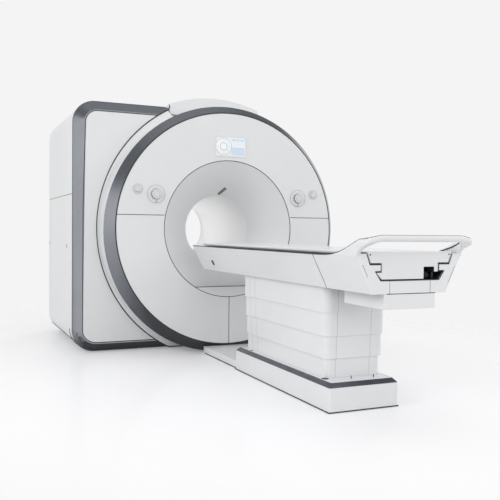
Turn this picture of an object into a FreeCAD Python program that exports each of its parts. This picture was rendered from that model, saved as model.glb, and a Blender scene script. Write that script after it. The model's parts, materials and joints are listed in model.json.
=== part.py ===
import FreeCAD, Part
import math
import os
from FreeCAD import Vector

# Whole-body magnetic resonance scanner with its patient table.  Millimetres.
# X runs to the right as seen from the foot of the table, Y runs along the patient bore into
# the magnet and Z runs up.  The origin lies on the floor below the centre of the magnet.

# ---- driving dimensions: magnet and its covers ------------------------------------------
BORE_R = 300.0             # free radius of the patient bore
DRUM_R = 1072.0            # outer radius of the round front drum
DRUM_CLEAR = 5.0           # gap between the drum and the floor
BORE_Z = DRUM_R + DRUM_CLEAR           # height of the bore axis above the floor
FACE_Y = -940.0            # plane of the front cover
REAR_Y = -FACE_Y           # plane of the rear cover
RING_RISE = 69.0           # how much wider the drum is than the flat front
FACE_R = DRUM_R - RING_RISE            # outer radius of the flat front cover
FACE_W = 410.0             # radial width of the flat front cover
MOUTH_R = FACE_R - FACE_W              # radius of the funnel's mouth
MOUTH_STEP = 73.0          # how much narrower the rear funnel's mouth is
REAR_MOUTH_R = MOUTH_R - MOUTH_STEP
FUNNEL_DEPTH = 313.0       # from the mouth of a funnel to the straight bore
FUNNEL_BULGE = 14.0        # how far the funnel's flank swells towards the patient
FUNNEL_WALL = 8.0
SILL_H = 91.0              # height of the level shelf that closes the bottom of the funnel
SILL_Z = BORE_Z - MOUTH_R + SILL_H
COVER_WALL = 8.0           # moulded cover thickness
FACE_WALL = 12.0           # front cover thickness
FACE_SEAM_RISE = 109.0     # level joint between upper and lower front covers, above the axis
FACE_SEAM_Z = BORE_Z + FACE_SEAM_RISE
RING_DEPTH = 88.0          # length of the sloped part of the accent ring
RING_LAND = 12.0           # straight land behind the slope
RING_LIP = 40.0            # turned-in lip that holds the front covers
RING_WALL = 6.0
SEAM = 0.8                 # joint between neighbouring covers
FIT = 0.3                  # running or seating clearance

HOUSE_SETBACK = 378.0      # from the front cover back to the housing's front panels
HOUSE_Y = FACE_Y + HOUSE_SETBACK
BAND_DEPTH = 63.0          # depth of the sloped band round the housing
BAND_Y = HOUSE_Y + BAND_DEPTH
BAND_WALL = 12.0
HOUSE_OUT = 203.0          # how far the housing stands out beside the drum at the left
HOUSE_RISE = 17.0          # and above it, and at the right, where it follows the drum
HOUSE_LEFT = DRUM_R + HOUSE_OUT
HOUSE_RIGHT = DRUM_R + HOUSE_RISE
HOUSE_Z0 = 4.0             # bottom of the housing, just clear of the floor
HOUSE_Z1 = BORE_Z + HOUSE_RIGHT
HOUSE_CORNER = 190.0       # corner radius of the housing
BAND_SIDE = 91.0           # width of the sloped band seen from the front: at the sides,
BAND_FOOT = 78.0           # at the bottom
BAND_TOP = 76.0            # and at the top
PANEL_LEFT = HOUSE_LEFT - BAND_SIDE
PANEL_Z0 = HOUSE_Z0 + BAND_FOOT
PANEL_Z1 = HOUSE_Z1 - BAND_TOP
PANEL_CORNER = 110.0       # corner radius of the band's front edge
SIDE_SEAM_RISE = 290.0     # level joint between upper and lower housing covers
SIDE_SEAM_Z = BORE_Z + SIDE_SEAM_RISE
REAR_COVER_DEPTH = 60.0    # depth of the dished rear cover
REAR_ROUND = 45.0          # rounding round the rear cover
HOUSE_FOOT_W = 215.0       # how far the housing's covers turn in under it

TURRET_RISE = 124.0        # height of the arched service cover above the drum
TURRET_R = DRUM_R + TURRET_RISE
TURRET_HALF_W = 432.0
TURRET_SETBACK = 6.0       # behind the housing's front panels
TURRET_END = 300.0         # from the arched cover's end to the rear cover
TURRET_Y0 = HOUSE_Y + TURRET_SETBACK
TURRET_Y1 = REAR_Y - TURRET_END
HATCH_SIDE = 72.0          # how far the housing's hatch stays inside the arched cover:
HATCH_FRONT = 116.0
HATCH_REAR = 80.0
TURRET_HATCH_HALF_W = TURRET_HALF_W - HATCH_SIDE
TURRET_HATCH_Y0 = TURRET_Y0 + HATCH_FRONT
TURRET_HATCH_Y1 = TURRET_Y1 - HATCH_REAR

# ---- magnet inside the covers ----------------------------------------------------------
LINER_WALL = 6.0
RF_ROOM = 22.0             # from the free bore to the radio-frequency coil former
RF_R = BORE_R + RF_ROOM
RF_WALL = 6.0
RF_RUNGS = 16
RF_RUNG_W = 24.0
GRADIENT_ROOM = 40.0       # from the free bore to the gradient coil
GRADIENT_IN_R = BORE_R + GRADIENT_ROOM
GRADIENT_T = 107.0         # radial thickness of the gradient coil
VESSEL_BORE_R = GRADIENT_IN_R + GRADIENT_T     # warm bore of the vacuum vessel
VESSEL_ROOM = 142.0        # from the round drum in to the vacuum vessel
VESSEL_R = DRUM_R - VESSEL_ROOM
VESSEL_WALL = 12.0
FLANK_CLEAR = 13.0         # room for the funnel's wall where it enters the warm bore
FLANK_DEPTH = FUNNEL_DEPTH * (MOUTH_R + FLANK_CLEAR - VESSEL_BORE_R) / (MOUTH_R - BORE_R)
VESSEL_HALF_L = REAR_Y - FLANK_DEPTH
HELIUM_ROOM = 55.0         # vacuum space between the two vessels' walls
HELIUM_END = 70.0          # and at their ends
HELIUM_R = VESSEL_R - HELIUM_ROOM
HELIUM_BORE_R = VESSEL_BORE_R + HELIUM_ROOM
HELIUM_HALF_L = VESSEL_HALF_L - HELIUM_END
HELIUM_WALL = 8.0
GRADIENT_END = 100.0       # from the coil vessel's end to the gradient coil's
GRADIENT_HALF_L = HELIUM_HALF_L - GRADIENT_END
RF_END = 120.0             # and from there to the radio-frequency coil's
RF_HALF_L = GRADIENT_HALF_L - RF_END
STRUT_R = 12.0
STRUT_AT = 0.7             # the ties' place, a share of the coil vessel's half length
MAIN_COIL_AT = (0.13, 0.43, 0.8)       # middles of the main windings, shares of the half length
MAIN_COIL_W = (90.0, 110.0, 150.0)     # their widths
MAIN_COIL_H = 70.0
SHIELD_COIL_AT = 0.74
SHIELD_COIL_W = 110.0
SHIELD_COIL_H = 45.0
TURRET_NECK_R = 170.0
NECK_HEADROOM = 123.0      # from the neck's top to the crown of the arched cover
TURRET_NECK_TOP = BORE_Z + TURRET_R - NECK_HEADROOM
COLD_HEAD_R = 70.0
COLD_HEAD_H = 85.0
COLD_HEAD_FLANGE = 15.0
COLD_BARREL_R = 42.0
SERVICE_Y = 60.0           # cold head and vent stub stand this far aft and fore of the neck
VENT_R = 45.0
STANDOFF_R = 18.0          # posts between the vessel and its covers
STANDOFF_INSET = 60.0      # from the vessel's front end to the drum's posts
POST_OUT = 187.0           # how far outside the mouth the front and rear posts stand
FRONT_POST_R = MOUTH_R + POST_OUT
FOOT_X = 600.0             # anchor holes of the magnet feet
FOOT_Y = 370.0
FOOT_HALF_W = 130.0        # half sizes of a foot plate
FOOT_HALF_L = 110.0
FOOT_PLATE = 30.0
FOOT_WEB_HALF = 80.0       # half width of the web above a foot plate
ANCHOR_R = 11.0            # anchor hole

# ---- bore bridge -----------------------------------------------------------------------
BRIDGE_H = 113.0           # height of the bridge at the middle of the bore
LEDGE_Z = BORE_Z - BORE_R + BRIDGE_H   # level on which the tabletop runs
BRIDGE_WALL = 12.0

# ---- front face fittings ---------------------------------------------------------------
DISPLAY_HALF_W = 145.0
DISPLAY_H = 182.0
DISPLAY_RISE = 32.0        # above the funnel's mouth
DISPLAY_Z0 = BORE_Z + MOUTH_R + DISPLAY_RISE
DISPLAY_Z1 = DISPLAY_Z0 + DISPLAY_H
DISPLAY_X = 4.0
DISPLAY_RIM = 9.0
DISPLAY_PROUD = 4.0
DISPLAY_GLASS = 5.0
DIAL_OUT = 131.0           # from the funnel's mouth out to a dial
DIAL_REACH = MOUTH_R + DIAL_OUT
DIAL_ANGLE = math.radians(23.1)        # above the level of the axis
DIAL_X = DIAL_REACH * math.cos(DIAL_ANGLE)
DIAL_Z = BORE_Z + DIAL_REACH * math.sin(DIAL_ANGLE)
DIAL_BEZEL_R = 75.0
DIAL_BEZEL_T = 5.0
DIAL_R = 42.0
DIAL_T = 24.0
DIAL_FLUTES = 12
DIAL_FLUTE_R = 4.0
DIAL_SPINDLE_R = 8.0
DIAL_GAP = 3.0             # groove between a dial and its surround
CAP_EDGE = 3.0             # bevel round the knobs and buttons
STOP_OUT = 159.0           # from a dial out to a stop button
STOP_REACH = DIAL_REACH + STOP_OUT
STOP_ANGLE = math.radians(21.4)
STOP_X = STOP_REACH * math.cos(STOP_ANGLE)
STOP_Z = BORE_Z + STOP_REACH * math.sin(STOP_ANGLE)
STOP_BEZEL_R = 39.0
STOP_BEZEL_T = 6.0
STOP_R = 25.0
STOP_STROKE = 6.0
STOP_PROUD = 15.0
STOP_STEM_R = 7.0
WINDOW_INSET = 56.0        # from the throat to the middle of the laser window
WINDOW_Y = FACE_Y + FUNNEL_DEPTH - WINDOW_INSET
WINDOW_ANGLE = 4.5         # degrees off the top, to the right
WINDOW_SKEW = 27.5         # turn of its long side from the bore's direction
WINDOW_HALF_W = 15.0
WINDOW_HALF_L = 41.0

# ---- driving dimensions: patient table ---------------------------------------------------
HEAD_GAP = 8.0             # between the front cover and the table's head end
HEAD_END_Y = FACE_Y - HEAD_GAP
TABLE_L = 2539.0           # length of the table body
FOOT_END_Y = HEAD_END_Y - TABLE_L      # end face at the foot of the table
FOOT_COVER_L = 464.0       # from the end face to the joint with the side covers
END_SEAM_Y = FOOT_END_Y + FOOT_COVER_L
BOARD_ROOM = 50.0          # between the board's edge and the bore at its widest
BOARD_HALF_W = BORE_R - BOARD_ROOM
BOARD_RISE = 66.0          # top of the board above the bore bridge
BOARD_TOP_Z = LEDGE_Z + BOARD_RISE
BOARD_T = 24.0
BOARD_DISH = 5.0
BODY_TOP_Z = BOARD_TOP_Z - BOARD_T     # upper edge of the side covers
BODY_H = 201.0
BODY_BOT_Z = BODY_TOP_Z - BODY_H
BODY_OUT = 93.0            # how far the body stands out beside the board
BODY_LEAN = 101.0          # how far each side leans out from bottom to top
BODY_TOP_HALF_W = BOARD_HALF_W + BODY_OUT
BODY_BOT_HALF_W = BODY_TOP_HALF_W - BODY_LEAN
SIDE_WALL = 5.0
RIM_W = 25.0               # width of the upper rim of the side covers
RIM_DROP = 11.0            # how far the rim turns down to the deck
DECK_WALL = 4.0
PAN_WALL = 4.0
CAP_T = 6.0                # end cap at the funnel

LOOP_REACH = 105.0         # how far the grab loop stands out past the end face
LOOP_Y = FOOT_END_Y - LOOP_REACH       # outside of the grab loop's crossbar
LOOP_RISE = 117.0          # height of the loop above the rim
LOOP_TOP_Z = BODY_TOP_Z + LOOP_RISE
LOOP_BAR_H = 32.0
LOOP_BAR_T = 28.0
LOOP_CORNER = 62.0
RISE_ANGLE = 20.0          # slope of the rim where it sweeps up to the loop
RISE_LOW_R = 400.0         # rounding at the foot of the slope
RISE_HIGH_R = 100.0        # rounding at its top
LOOP_LEAN = 9.0            # hollow of the leaning underside of the loop
END_WALL = 7.0
END_RISE = 13.0            # top of the end face above the rim, where it starts to lean out
END_TOP_Z = BODY_TOP_Z + END_RISE
END_ROUND = 14.0

SLOT_GAP = 5.0             # gap between the carriage and its guide
CARRIAGE_L = 150.0
HEAD_OUT = 26.0            # carriage beside the board: at its top
FLANGE_OUT = 4.0           # and at its flange
NECK_IN = 66.0             # its neck inside the board's edge
TAIL_OUT = 35.0            # its tail outside the neck
TAIL_DROP = 44.0           # its tail below the ledge
CARRIAGE_DROP = 81.0       # its bottom below the ledge
CARRIAGE_TOP_HALF_W = BOARD_HALF_W + HEAD_OUT
CARRIAGE_FLANGE_HALF_W = BOARD_HALF_W + FLANGE_OUT
CARRIAGE_FLANGE_Z = LEDGE_Z + SLOT_GAP
CARRIAGE_NECK_HALF_W = BOARD_HALF_W - NECK_IN
CARRIAGE_TAIL_Z = LEDGE_Z - TAIL_DROP
CARRIAGE_TAIL_HALF_W = CARRIAGE_NECK_HALF_W + TAIL_OUT
CARRIAGE_BOT_Z = LEDGE_Z - CARRIAGE_DROP
RUNNER_IN = 9.0            # from the neck out to a runner
RUNNER_W = 20.0
RUNNER_X0 = CARRIAGE_NECK_HALF_W + RUNNER_IN
RUNNER_X1 = RUNNER_X0 + RUNNER_W

PULLEY_IN = 61.0           # from the carriage's neck in to the belt
PULLEY_X = CARRIAGE_NECK_HALF_W - PULLEY_IN
PULLEY_R = 18.0
PULLEY_W = 36.0
PULLEY_TEETH = 18
TOOTH_R = 1.2
BELT_T = 2.5
BELT_W = 30.0
BELT_CLEAR = 1.2           # gap under the belt
PULLEY_Z = CARRIAGE_BOT_Z - SLOT_GAP + PULLEY_R + FIT + BELT_T + BELT_CLEAR
AXLE_R = 6.0
AXLE_PROUD = 2.0           # stub of the axle beyond the pulley
DRIVE_INSET = 62.0         # from the table's head end to the drive pulley
IDLER_INSET = 47.0         # from its foot end to the idler
DRIVE_PULLEY_Y = HEAD_END_Y - DRIVE_INSET
IDLER_Y = FOOT_END_Y + IDLER_INSET
NOTCH_SIDE = 16.0          # belt notch in the carriage's lower right corner: room beside
NOTCH_HEAD = 29.0          # and above the pulleys
NOTCH_X0 = PULLEY_X - PULLEY_W / 2 - NOTCH_SIDE
NOTCH_X1 = PULLEY_X + PULLEY_W / 2 + NOTCH_SIDE
NOTCH_Z = PULLEY_Z + PULLEY_R + NOTCH_HEAD
STEP_IN = 7.0
STEP_X = NOTCH_X1 - STEP_IN            # the tail right of this is cut off
BEARING_GAP = 19.0         # from the idler to its bearing
BEARING_X0 = PULLEY_X + PULLEY_W / 2 + BEARING_GAP
BEARING_T = 16.0
BEARING_HALF_L = 16.0
BEARING_HEAD = 15.0        # height of the bearing above the axle
MOTOR_R = 20.0
MOTOR_L = 78.0
MOTOR_GAP = 5.0            # from the motor to the drive pulley
MOTOR_X1 = PULLEY_X - PULLEY_W / 2 - MOTOR_GAP
MOTOR_X0 = MOTOR_X1 - MOTOR_L
MOTOR_SOCKET = 45.0        # depth of the axle's socket in the motor

BOX_HALF_W = 166.0         # lower housing at the foot end
BOX_H = 83.0
BOX_L = 394.0
BOX_Z0 = BODY_BOT_Z - BOX_H
BOX_Y1 = FOOT_END_Y + BOX_L
BOX_WALL = 4.0
PANEL_END_HALF_W = 133.0   # access panel in the end face

FRAME_X = 105.0            # the two long beams inside the table
FRAME_BEAM_W = 60.0
FRAME_WALL = 4.0
FRAME_END_GAP = 60.0

# ---- column, lift and base --------------------------------------------------------------
SHELL_HALF_W = 223.0       # outermost column shell
SHELL_X = 16.0             # the column's middle stands this far right of the table's
COLUMN_FOOT = 588.0        # from the table's foot end to the column
COLUMN_HEAD = 761.0        # and from the column to its head end
SHELL_Y0 = FOOT_END_Y + COLUMN_FOOT
SHELL_Y1 = HEAD_END_Y - COLUMN_HEAD
SHELL_CORNER = 62.0
SHELL_WALL = 8.5
SHELL_GAP = 0.5
SHELL_SEAMS_AT = (0.713, 0.455, 0.208)     # lower edges of the moving shells, column shares
SHELL_LAPS = (22.0, 29.0, 57.0)            # how far each shell reaches into the one above
BASE_OUT = 19.0            # how far the base stands out beside the column,
BASE_FOOT = 168.0          # before it
BASE_HEAD = 41.0           # and behind it
BASE_HALF_W = SHELL_HALF_W + BASE_OUT
BASE_Y0 = SHELL_Y0 - BASE_FOOT
BASE_Y1 = SHELL_Y1 + BASE_HEAD
BASE_TOP_Z = 173.0
BASE_BEVEL = 25.0
BASE_SIDE_Z = BASE_TOP_Z - BASE_BEVEL
BASE_CORNER = 12.0
BASE_WALL = 4.0
BASE_FLOOR_GAP = 4.0
PLATE_T = 12.0             # steel base plate on the floor
PLATE_INSET = 9.0
BASE_ANCHOR_SIDE = 72.0    # from the base's sides and ends in to the anchor holes
BASE_ANCHOR_END = 99.5
BASE_ANCHOR_R = 7.0
LIFT_INSET = 301.0         # from the ends of the column to the middles of the lift tubes
LIFT_Y = (SHELL_Y0 + LIFT_INSET, SHELL_Y1 - LIFT_INSET)
LIFT_W = 160.0             # outer width of the lowest lift tube
LIFT_WALL = 6.6
LIFT_PLAY = 0.4            # between neighbouring lift tubes
LIFT_LAP = 103.0           # how far neighbouring lift tubes overlap
DUCT_IN = 17.0             # how much narrower than the base the duct is, each side
DUCT_HALF_W = BASE_HALF_W - DUCT_IN
DUCT_H = 58.0
HOOK_INSET = 315.0         # small catch on the left side cover: from the head end
HOOK_RISE = 68.0           # and above the body's lower edge
HOOK_Y = HEAD_END_Y - HOOK_INSET
HOOK_Z = BODY_BOT_Z + HOOK_RISE
HOOK_H = 38.0
HOOK_T = 5.0
HOOK_HALF_L = 16.0


# ---- helpers ---------------------------------------------------------------------------
def box(x0, y0, z0, x1, y1, z1):
    return Part.makeBox(x1 - x0, y1 - y0, z1 - z0, Vector(x0, y0, z0))


def polygon_face(points):
    return Part.Face(Part.makePolygon(list(points) + [points[0]]))


def prism(points, y0, y1):
    """A section drawn as (x, z) points, drawn out along Y."""
    face = polygon_face([Vector(x, y0, z) for x, z in points])
    return face.extrude(Vector(0, y1 - y0, 0))


def mirrored(shape):
    return shape.mirror(Vector(0, 0, 0), Vector(1, 0, 0))


def both_sides(half):
    """The points of a symmetric outline from the points of its right half."""
    return list(half) + [(-x, z) for x, z in reversed(half)]


def strip(points, wall):
    """Closed outline of a bent sheet whose left-hand face follows the given open line."""
    count = len(points)
    inner = []
    for i, (x, z) in enumerate(points):
        before = points[max(i - 1, 0)]
        after = points[min(i + 1, count - 1)]
        normals = []
        for a, b in ((before, (x, z)), ((x, z), after)):
            length = math.hypot(b[0] - a[0], b[1] - a[1])
            if length:
                normals.append(((b[1] - a[1]) / length, -(b[0] - a[0]) / length))
        nx = sum(n[0] for n in normals) / len(normals)
        nz = sum(n[1] for n in normals) / len(normals)
        scale = wall / (nx * nx + nz * nz)
        inner.append((x + nx * scale, z + nz * scale))
    return list(points) + inner[::-1]


def turned(points):
    """A body of revolution about the bore axis from (radius, y) points."""
    face = polygon_face([Vector(r, y, BORE_Z) for r, y in points])
    return face.revolve(Vector(0, 0, BORE_Z), Vector(0, 1, 0), 360)


def tube(r_in, r_out, y0, y1):
    outer = Part.makeCylinder(r_out, y1 - y0, Vector(0, y0, BORE_Z), Vector(0, 1, 0))
    return outer.cut(Part.makeCylinder(r_in, y1 - y0, Vector(0, y0, BORE_Z), Vector(0, 1, 0)))


def disc(radius, y0, y1, x=0.0, z=BORE_Z):
    return Part.makeCylinder(radius, y1 - y0, Vector(x, y0, z), Vector(0, 1, 0))


def rounded_wire(u0, u1, v0, v1, radius, place):
    """A rectangle with round corners; place(u, v) gives each point in space."""
    k = radius * (1 - math.sqrt(0.5))
    edges = []
    corners = (
        ((u1 - radius, v0), (u1 - k, v0 + k), (u1, v0 + radius), (u1, v1 - radius)),
        ((u1, v1 - radius), (u1 - k, v1 - k), (u1 - radius, v1), (u0 + radius, v1)),
        ((u0 + radius, v1), (u0 + k, v1 - k), (u0, v1 - radius), (u0, v0 + radius)),
        ((u0, v0 + radius), (u0 + k, v0 + k), (u0 + radius, v0), (u1 - radius, v0)),
    )
    for start, middle, end, following in corners:
        a, m, b, c = (place(*q) for q in (start, middle, end, following))
        edges.append(Part.Arc(a, m, b).toShape())
        edges.append(Part.makeLine(b, c))
    return Part.Wire(edges)


def upright(y):
    return lambda x, z: Vector(x, y, z)


def level(z):
    return lambda x, y: Vector(x, y, z)


def house_wire(left, z0, z1, corner, y):
    """Outline of the housing: squared at the left, and round like the drum at the right."""
    at = upright(y)
    right = z1 - BORE_Z
    half = right * math.sqrt(0.5)
    k = corner * (1 - math.sqrt(0.5))
    return Part.Wire([
        Part.Arc(at(right, BORE_Z), at(half, BORE_Z + half), at(0, z1)).toShape(),
        Part.makeLine(at(0, z1), at(corner - left, z1)),
        Part.Arc(at(corner - left, z1), at(k - left, z1 - k), at(-left, z1 - corner)).toShape(),
        Part.makeLine(at(-left, z1 - corner), at(-left, z0 + corner)),
        Part.Arc(at(-left, z0 + corner), at(k - left, z0 + k), at(corner - left, z0)).toShape(),
        Part.makeLine(at(corner - left, z0), at(right - corner, z0)),
        Part.Arc(at(right - corner, z0), at(right - k, z0 + k), at(right, z0 + corner)).toShape(),
        Part.makeLine(at(right, z0 + corner), at(right, BORE_Z)),
    ])


def house_plate(inset, y0, y1):
    """Slice of the housing, drawn in by inset all round."""
    wire = house_wire(HOUSE_LEFT - inset, HOUSE_Z0 + inset, HOUSE_Z1 - inset,
                      HOUSE_CORNER - inset, y0)
    return Part.Face(wire).extrude(Vector(0, y1 - y0, 0))


def rounded_block(half_w, y0, y1, radius, z0, z1):
    wire = rounded_wire(-half_w, half_w, y0, y1, radius, level(z0))
    return Part.Face(wire).extrude(Vector(0, 0, z1 - z0))


def one_solid(shape):
    """The single solid of a boolean result."""
    return shape.Solids[0]


def group(shapes):
    return Part.makeCompound([s for shape in shapes for s in shape.Solids])


# ---- round front of the magnet -------------------------------------------------------------
def accent_ring():
    outline = [
        (FACE_R, FACE_Y + RING_LIP),
        (FACE_R, FACE_Y),
        (DRUM_R, FACE_Y + RING_DEPTH),
        (DRUM_R, FACE_Y + RING_DEPTH + RING_LAND),
    ]
    return turned(strip(outline[::-1], RING_WALL))


def drum_cover():
    return tube(DRUM_R - COVER_WALL, DRUM_R, FACE_Y + RING_DEPTH + RING_LAND + SEAM, BAND_Y)


def face_plate():
    """The whole flat front, with its openings, before it is split at its joints."""
    plate = tube(MOUTH_R + SEAM, FACE_R - FIT, FACE_Y, FACE_Y + FACE_WALL)
    screen = box(DISPLAY_X - DISPLAY_HALF_W + DISPLAY_RIM, FACE_Y - 1, DISPLAY_Z0 + DISPLAY_RIM,
                 DISPLAY_X + DISPLAY_HALF_W - DISPLAY_RIM, FACE_Y + FACE_WALL + 1,
                 DISPLAY_Z1 - DISPLAY_RIM)
    plate = plate.cut(screen)
    for side in (-1, 1):
        plate = plate.cut(disc(DIAL_SPINDLE_R + FIT, FACE_Y - 1, FACE_Y + FACE_WALL + 1,
                               side * DIAL_X, DIAL_Z))
        plate = plate.cut(disc(STOP_STEM_R + FIT, FACE_Y - 1, FACE_Y + FACE_WALL + 1,
                               side * STOP_X, STOP_Z))
    return plate


def front_covers():
    plate = face_plate()
    far = 2 * DRUM_R
    upper = plate.common(box(-far, FACE_Y - 1, FACE_SEAM_Z + SEAM / 2, far, FACE_Y + far, far * 2))
    lower = plate.common(box(-far, FACE_Y - 1, -far, far, FACE_Y + far, FACE_SEAM_Z - SEAM / 2))
    right = lower.common(box(SEAM / 2, FACE_Y - 1, -far, far, FACE_Y + far, far))
    left = lower.common(box(-far, FACE_Y - 1, -far, -SEAM / 2, FACE_Y + far, far))
    return one_solid(upper), one_solid(left), one_solid(right)


def funnel_flank(mouth_r):
    """Middle point of the funnel's flank as (radius, depth): a chord pushed to the patient."""
    run = mouth_r - BORE_R
    length = math.hypot(run, FUNNEL_DEPTH)
    radius = (mouth_r + BORE_R) / 2 - FUNNEL_BULGE * FUNNEL_DEPTH / length
    depth = FUNNEL_DEPTH / 2 - FUNNEL_BULGE * run / length
    return radius, depth


def funnel(mouth_r, plane_y, inward):
    """Trumpet from the cover's plane to the straight bore; inward is +1 or -1 along Y."""
    def at(radius, depth):
        return Vector(radius, plane_y + inward * depth, BORE_Z)
    mid_r, mid_d = funnel_flank(mouth_r)
    throat = FUNNEL_DEPTH
    inner = Part.Arc(at(mouth_r, 0), at(mid_r, mid_d), at(BORE_R, throat)).toShape()
    outer = Part.Arc(at(BORE_R + FUNNEL_WALL, throat), at(mid_r + FUNNEL_WALL, mid_d + FUNNEL_WALL),
                     at(mouth_r, 2 * FUNNEL_WALL)).toShape()
    wire = Part.Wire([
        inner,
        Part.makeLine(at(BORE_R, throat), at(BORE_R + FUNNEL_WALL, throat)),
        outer,
        Part.makeLine(at(mouth_r, 2 * FUNNEL_WALL), at(mouth_r, 0)),
    ])
    return Part.Face(wire).revolve(Vector(0, 0, BORE_Z), Vector(0, 1, 0), 360)


def below_sill(shape, top):
    far = 2 * DRUM_R
    return shape.common(box(-far, FACE_Y - far, -far, far, far, top))


def front_funnel():
    far = 2 * DRUM_R
    whole = funnel(MOUTH_R, FACE_Y, 1)
    cut = whole.cut(box(-far, FACE_Y - 1, -far, far, FACE_Y + FUNNEL_DEPTH, SILL_Z))
    window = laser_window_block(FIT)
    return one_solid(cut.cut(window))


def funnel_sill():
    """The segment under the funnel: a level shelf with a flat front."""
    front = below_sill(disc(MOUTH_R, FACE_Y, FACE_Y + FACE_WALL), SILL_Z - SEAM)
    shelf = Part.makeCone(MOUTH_R, BORE_R, FUNNEL_DEPTH, Vector(0, FACE_Y, BORE_Z),
                          Vector(0, 1, 0))
    shelf = below_sill(shelf, SILL_Z - SEAM)
    shelf = shelf.cut(below_sill(shelf, SILL_Z - SEAM - COVER_WALL))
    return one_solid(front.fuse(shelf).removeSplitter())


def laser_window_block(grow):
    """A slim slab through the funnel wall, running askew up the flank from the throat."""
    half_w = WINDOW_HALF_W + grow
    half_l = WINDOW_HALF_L + grow
    slab = box(-half_w, -half_l, -2 * WINDOW_HALF_L, half_w, half_l, 2 * WINDOW_HALF_L)
    slab.rotate(Vector(0, 0, 0), Vector(0, 0, 1), WINDOW_SKEW)
    radius = BORE_R + (FACE_Y + FUNNEL_DEPTH - WINDOW_Y) * (MOUTH_R - BORE_R) / FUNNEL_DEPTH
    slab.translate(Vector(0, WINDOW_Y, BORE_Z + radius))
    slab.rotate(Vector(0, 0, BORE_Z), Vector(0, 1, 0), WINDOW_ANGLE)
    return slab


def laser_window():
    return one_solid(funnel(MOUTH_R, FACE_Y, 1).common(laser_window_block(0.0)))


def bore_liner():
    return tube(BORE_R, BORE_R + LINER_WALL, FACE_Y + FUNNEL_DEPTH, REAR_Y - FUNNEL_DEPTH)


# ---- display and controls on the front cover -----------------------------------------------
def display_bezel():
    outer = box(DISPLAY_X - DISPLAY_HALF_W, FACE_Y - DISPLAY_PROUD, DISPLAY_Z0,
                DISPLAY_X + DISPLAY_HALF_W, FACE_Y, DISPLAY_Z1)
    corners = [e for e in outer.Edges if abs(e.tangentAt(e.FirstParameter).y) > 0.9]
    outer = outer.makeFillet(DISPLAY_RIM, corners)
    opening = box(DISPLAY_X - DISPLAY_HALF_W + DISPLAY_RIM, FACE_Y - DISPLAY_PROUD,
                  DISPLAY_Z0 + DISPLAY_RIM, DISPLAY_X + DISPLAY_HALF_W - DISPLAY_RIM, FACE_Y,
                  DISPLAY_Z1 - DISPLAY_RIM)
    return outer.cut(opening)


def display_screen():
    margin = DISPLAY_RIM + FIT
    return box(DISPLAY_X - DISPLAY_HALF_W + margin, FACE_Y - DISPLAY_PROUD / 2,
               DISPLAY_Z0 + margin, DISPLAY_X + DISPLAY_HALF_W - margin,
               FACE_Y - DISPLAY_PROUD / 2 + DISPLAY_GLASS + FACE_WALL, DISPLAY_Z1 - margin)


def control_bezels():
    """Raised round surrounds of the two table dials and the two stop buttons."""
    ring = disc(DIAL_BEZEL_R, FACE_Y - DIAL_BEZEL_T, FACE_Y, DIAL_X, DIAL_Z)
    ring = ring.cut(disc(DIAL_R + DIAL_GAP, FACE_Y - DIAL_BEZEL_T, FACE_Y - DIAL_BEZEL_T / 2,
                         DIAL_X, DIAL_Z))
    ring = ring.cut(disc(DIAL_SPINDLE_R + FIT, FACE_Y - DIAL_BEZEL_T, FACE_Y, DIAL_X, DIAL_Z))
    stop = disc(STOP_BEZEL_R, FACE_Y - STOP_BEZEL_T, FACE_Y, STOP_X, STOP_Z)
    stop = stop.cut(disc(STOP_R + FIT, FACE_Y - STOP_BEZEL_T, FACE_Y, STOP_X, STOP_Z))
    return group([ring, mirrored(ring), stop, mirrored(stop)])


def jog_dial(side):
    """Fluted turning knob with its spindle through the front cover."""
    back = FACE_Y - DIAL_BEZEL_T / 2 - FIT
    knob = disc(DIAL_R, back - DIAL_T, back, side * DIAL_X, DIAL_Z)
    rim = [e for e in knob.Edges if e.Curve.TypeId == "Part::GeomCircle"
           and abs(e.CenterOfMass.y - (back - DIAL_T)) < 0.1]
    knob = knob.makeChamfer(CAP_EDGE, rim)
    for i in range(DIAL_FLUTES):
        angle = 2 * math.pi * i / DIAL_FLUTES
        x = side * DIAL_X + DIAL_R * math.cos(angle)
        z = DIAL_Z + DIAL_R * math.sin(angle)
        knob = knob.cut(disc(DIAL_FLUTE_R, back - DIAL_T, back, x, z))
    spindle = disc(DIAL_SPINDLE_R, back, FACE_Y + FACE_WALL, side * DIAL_X, DIAL_Z)
    return one_solid(knob.fuse(spindle))


def stop_button(side):
    """Round button whose domed cap sinks into its surround."""
    foot = FACE_Y - STOP_STROKE - FIT
    cap = disc(STOP_R, foot - STOP_PROUD + STOP_STROKE, foot, side * STOP_X, STOP_Z)
    rim = [e for e in cap.Edges if e.Curve.TypeId == "Part::GeomCircle"
           and abs(e.CenterOfMass.y - (foot - STOP_PROUD + STOP_STROKE)) < 0.1]
    cap = cap.makeChamfer(CAP_EDGE, rim)
    stem = disc(STOP_STEM_R, foot, FACE_Y + FACE_WALL, side * STOP_X, STOP_Z)
    return one_solid(cap.fuse(stem))


# ---- rear housing ----------------------------------------------------------------------
def slope_block(inset):
    """Loft between the housing's edge and the front panels' edge, drawn in by inset."""
    back = house_wire(HOUSE_LEFT - inset, HOUSE_Z0 + inset, HOUSE_Z1 - inset,
                      HOUSE_CORNER - inset, BAND_Y)
    front = house_wire(PANEL_LEFT - inset, PANEL_Z0 + inset, PANEL_Z1 - inset,
                       PANEL_CORNER - inset, HOUSE_Y)
    return Part.makeLoft([back, front], True, True)


def drum_hole():
    return disc(DRUM_R + FIT, HOUSE_Y - 1, BAND_Y + 1)


def housing_band():
    """Sloped grey band round the housing's front edge, parted by the drum at its foot."""
    frame = slope_block(0.0).cut(slope_block(BAND_WALL))
    return group([frame.cut(drum_hole())])


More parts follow.
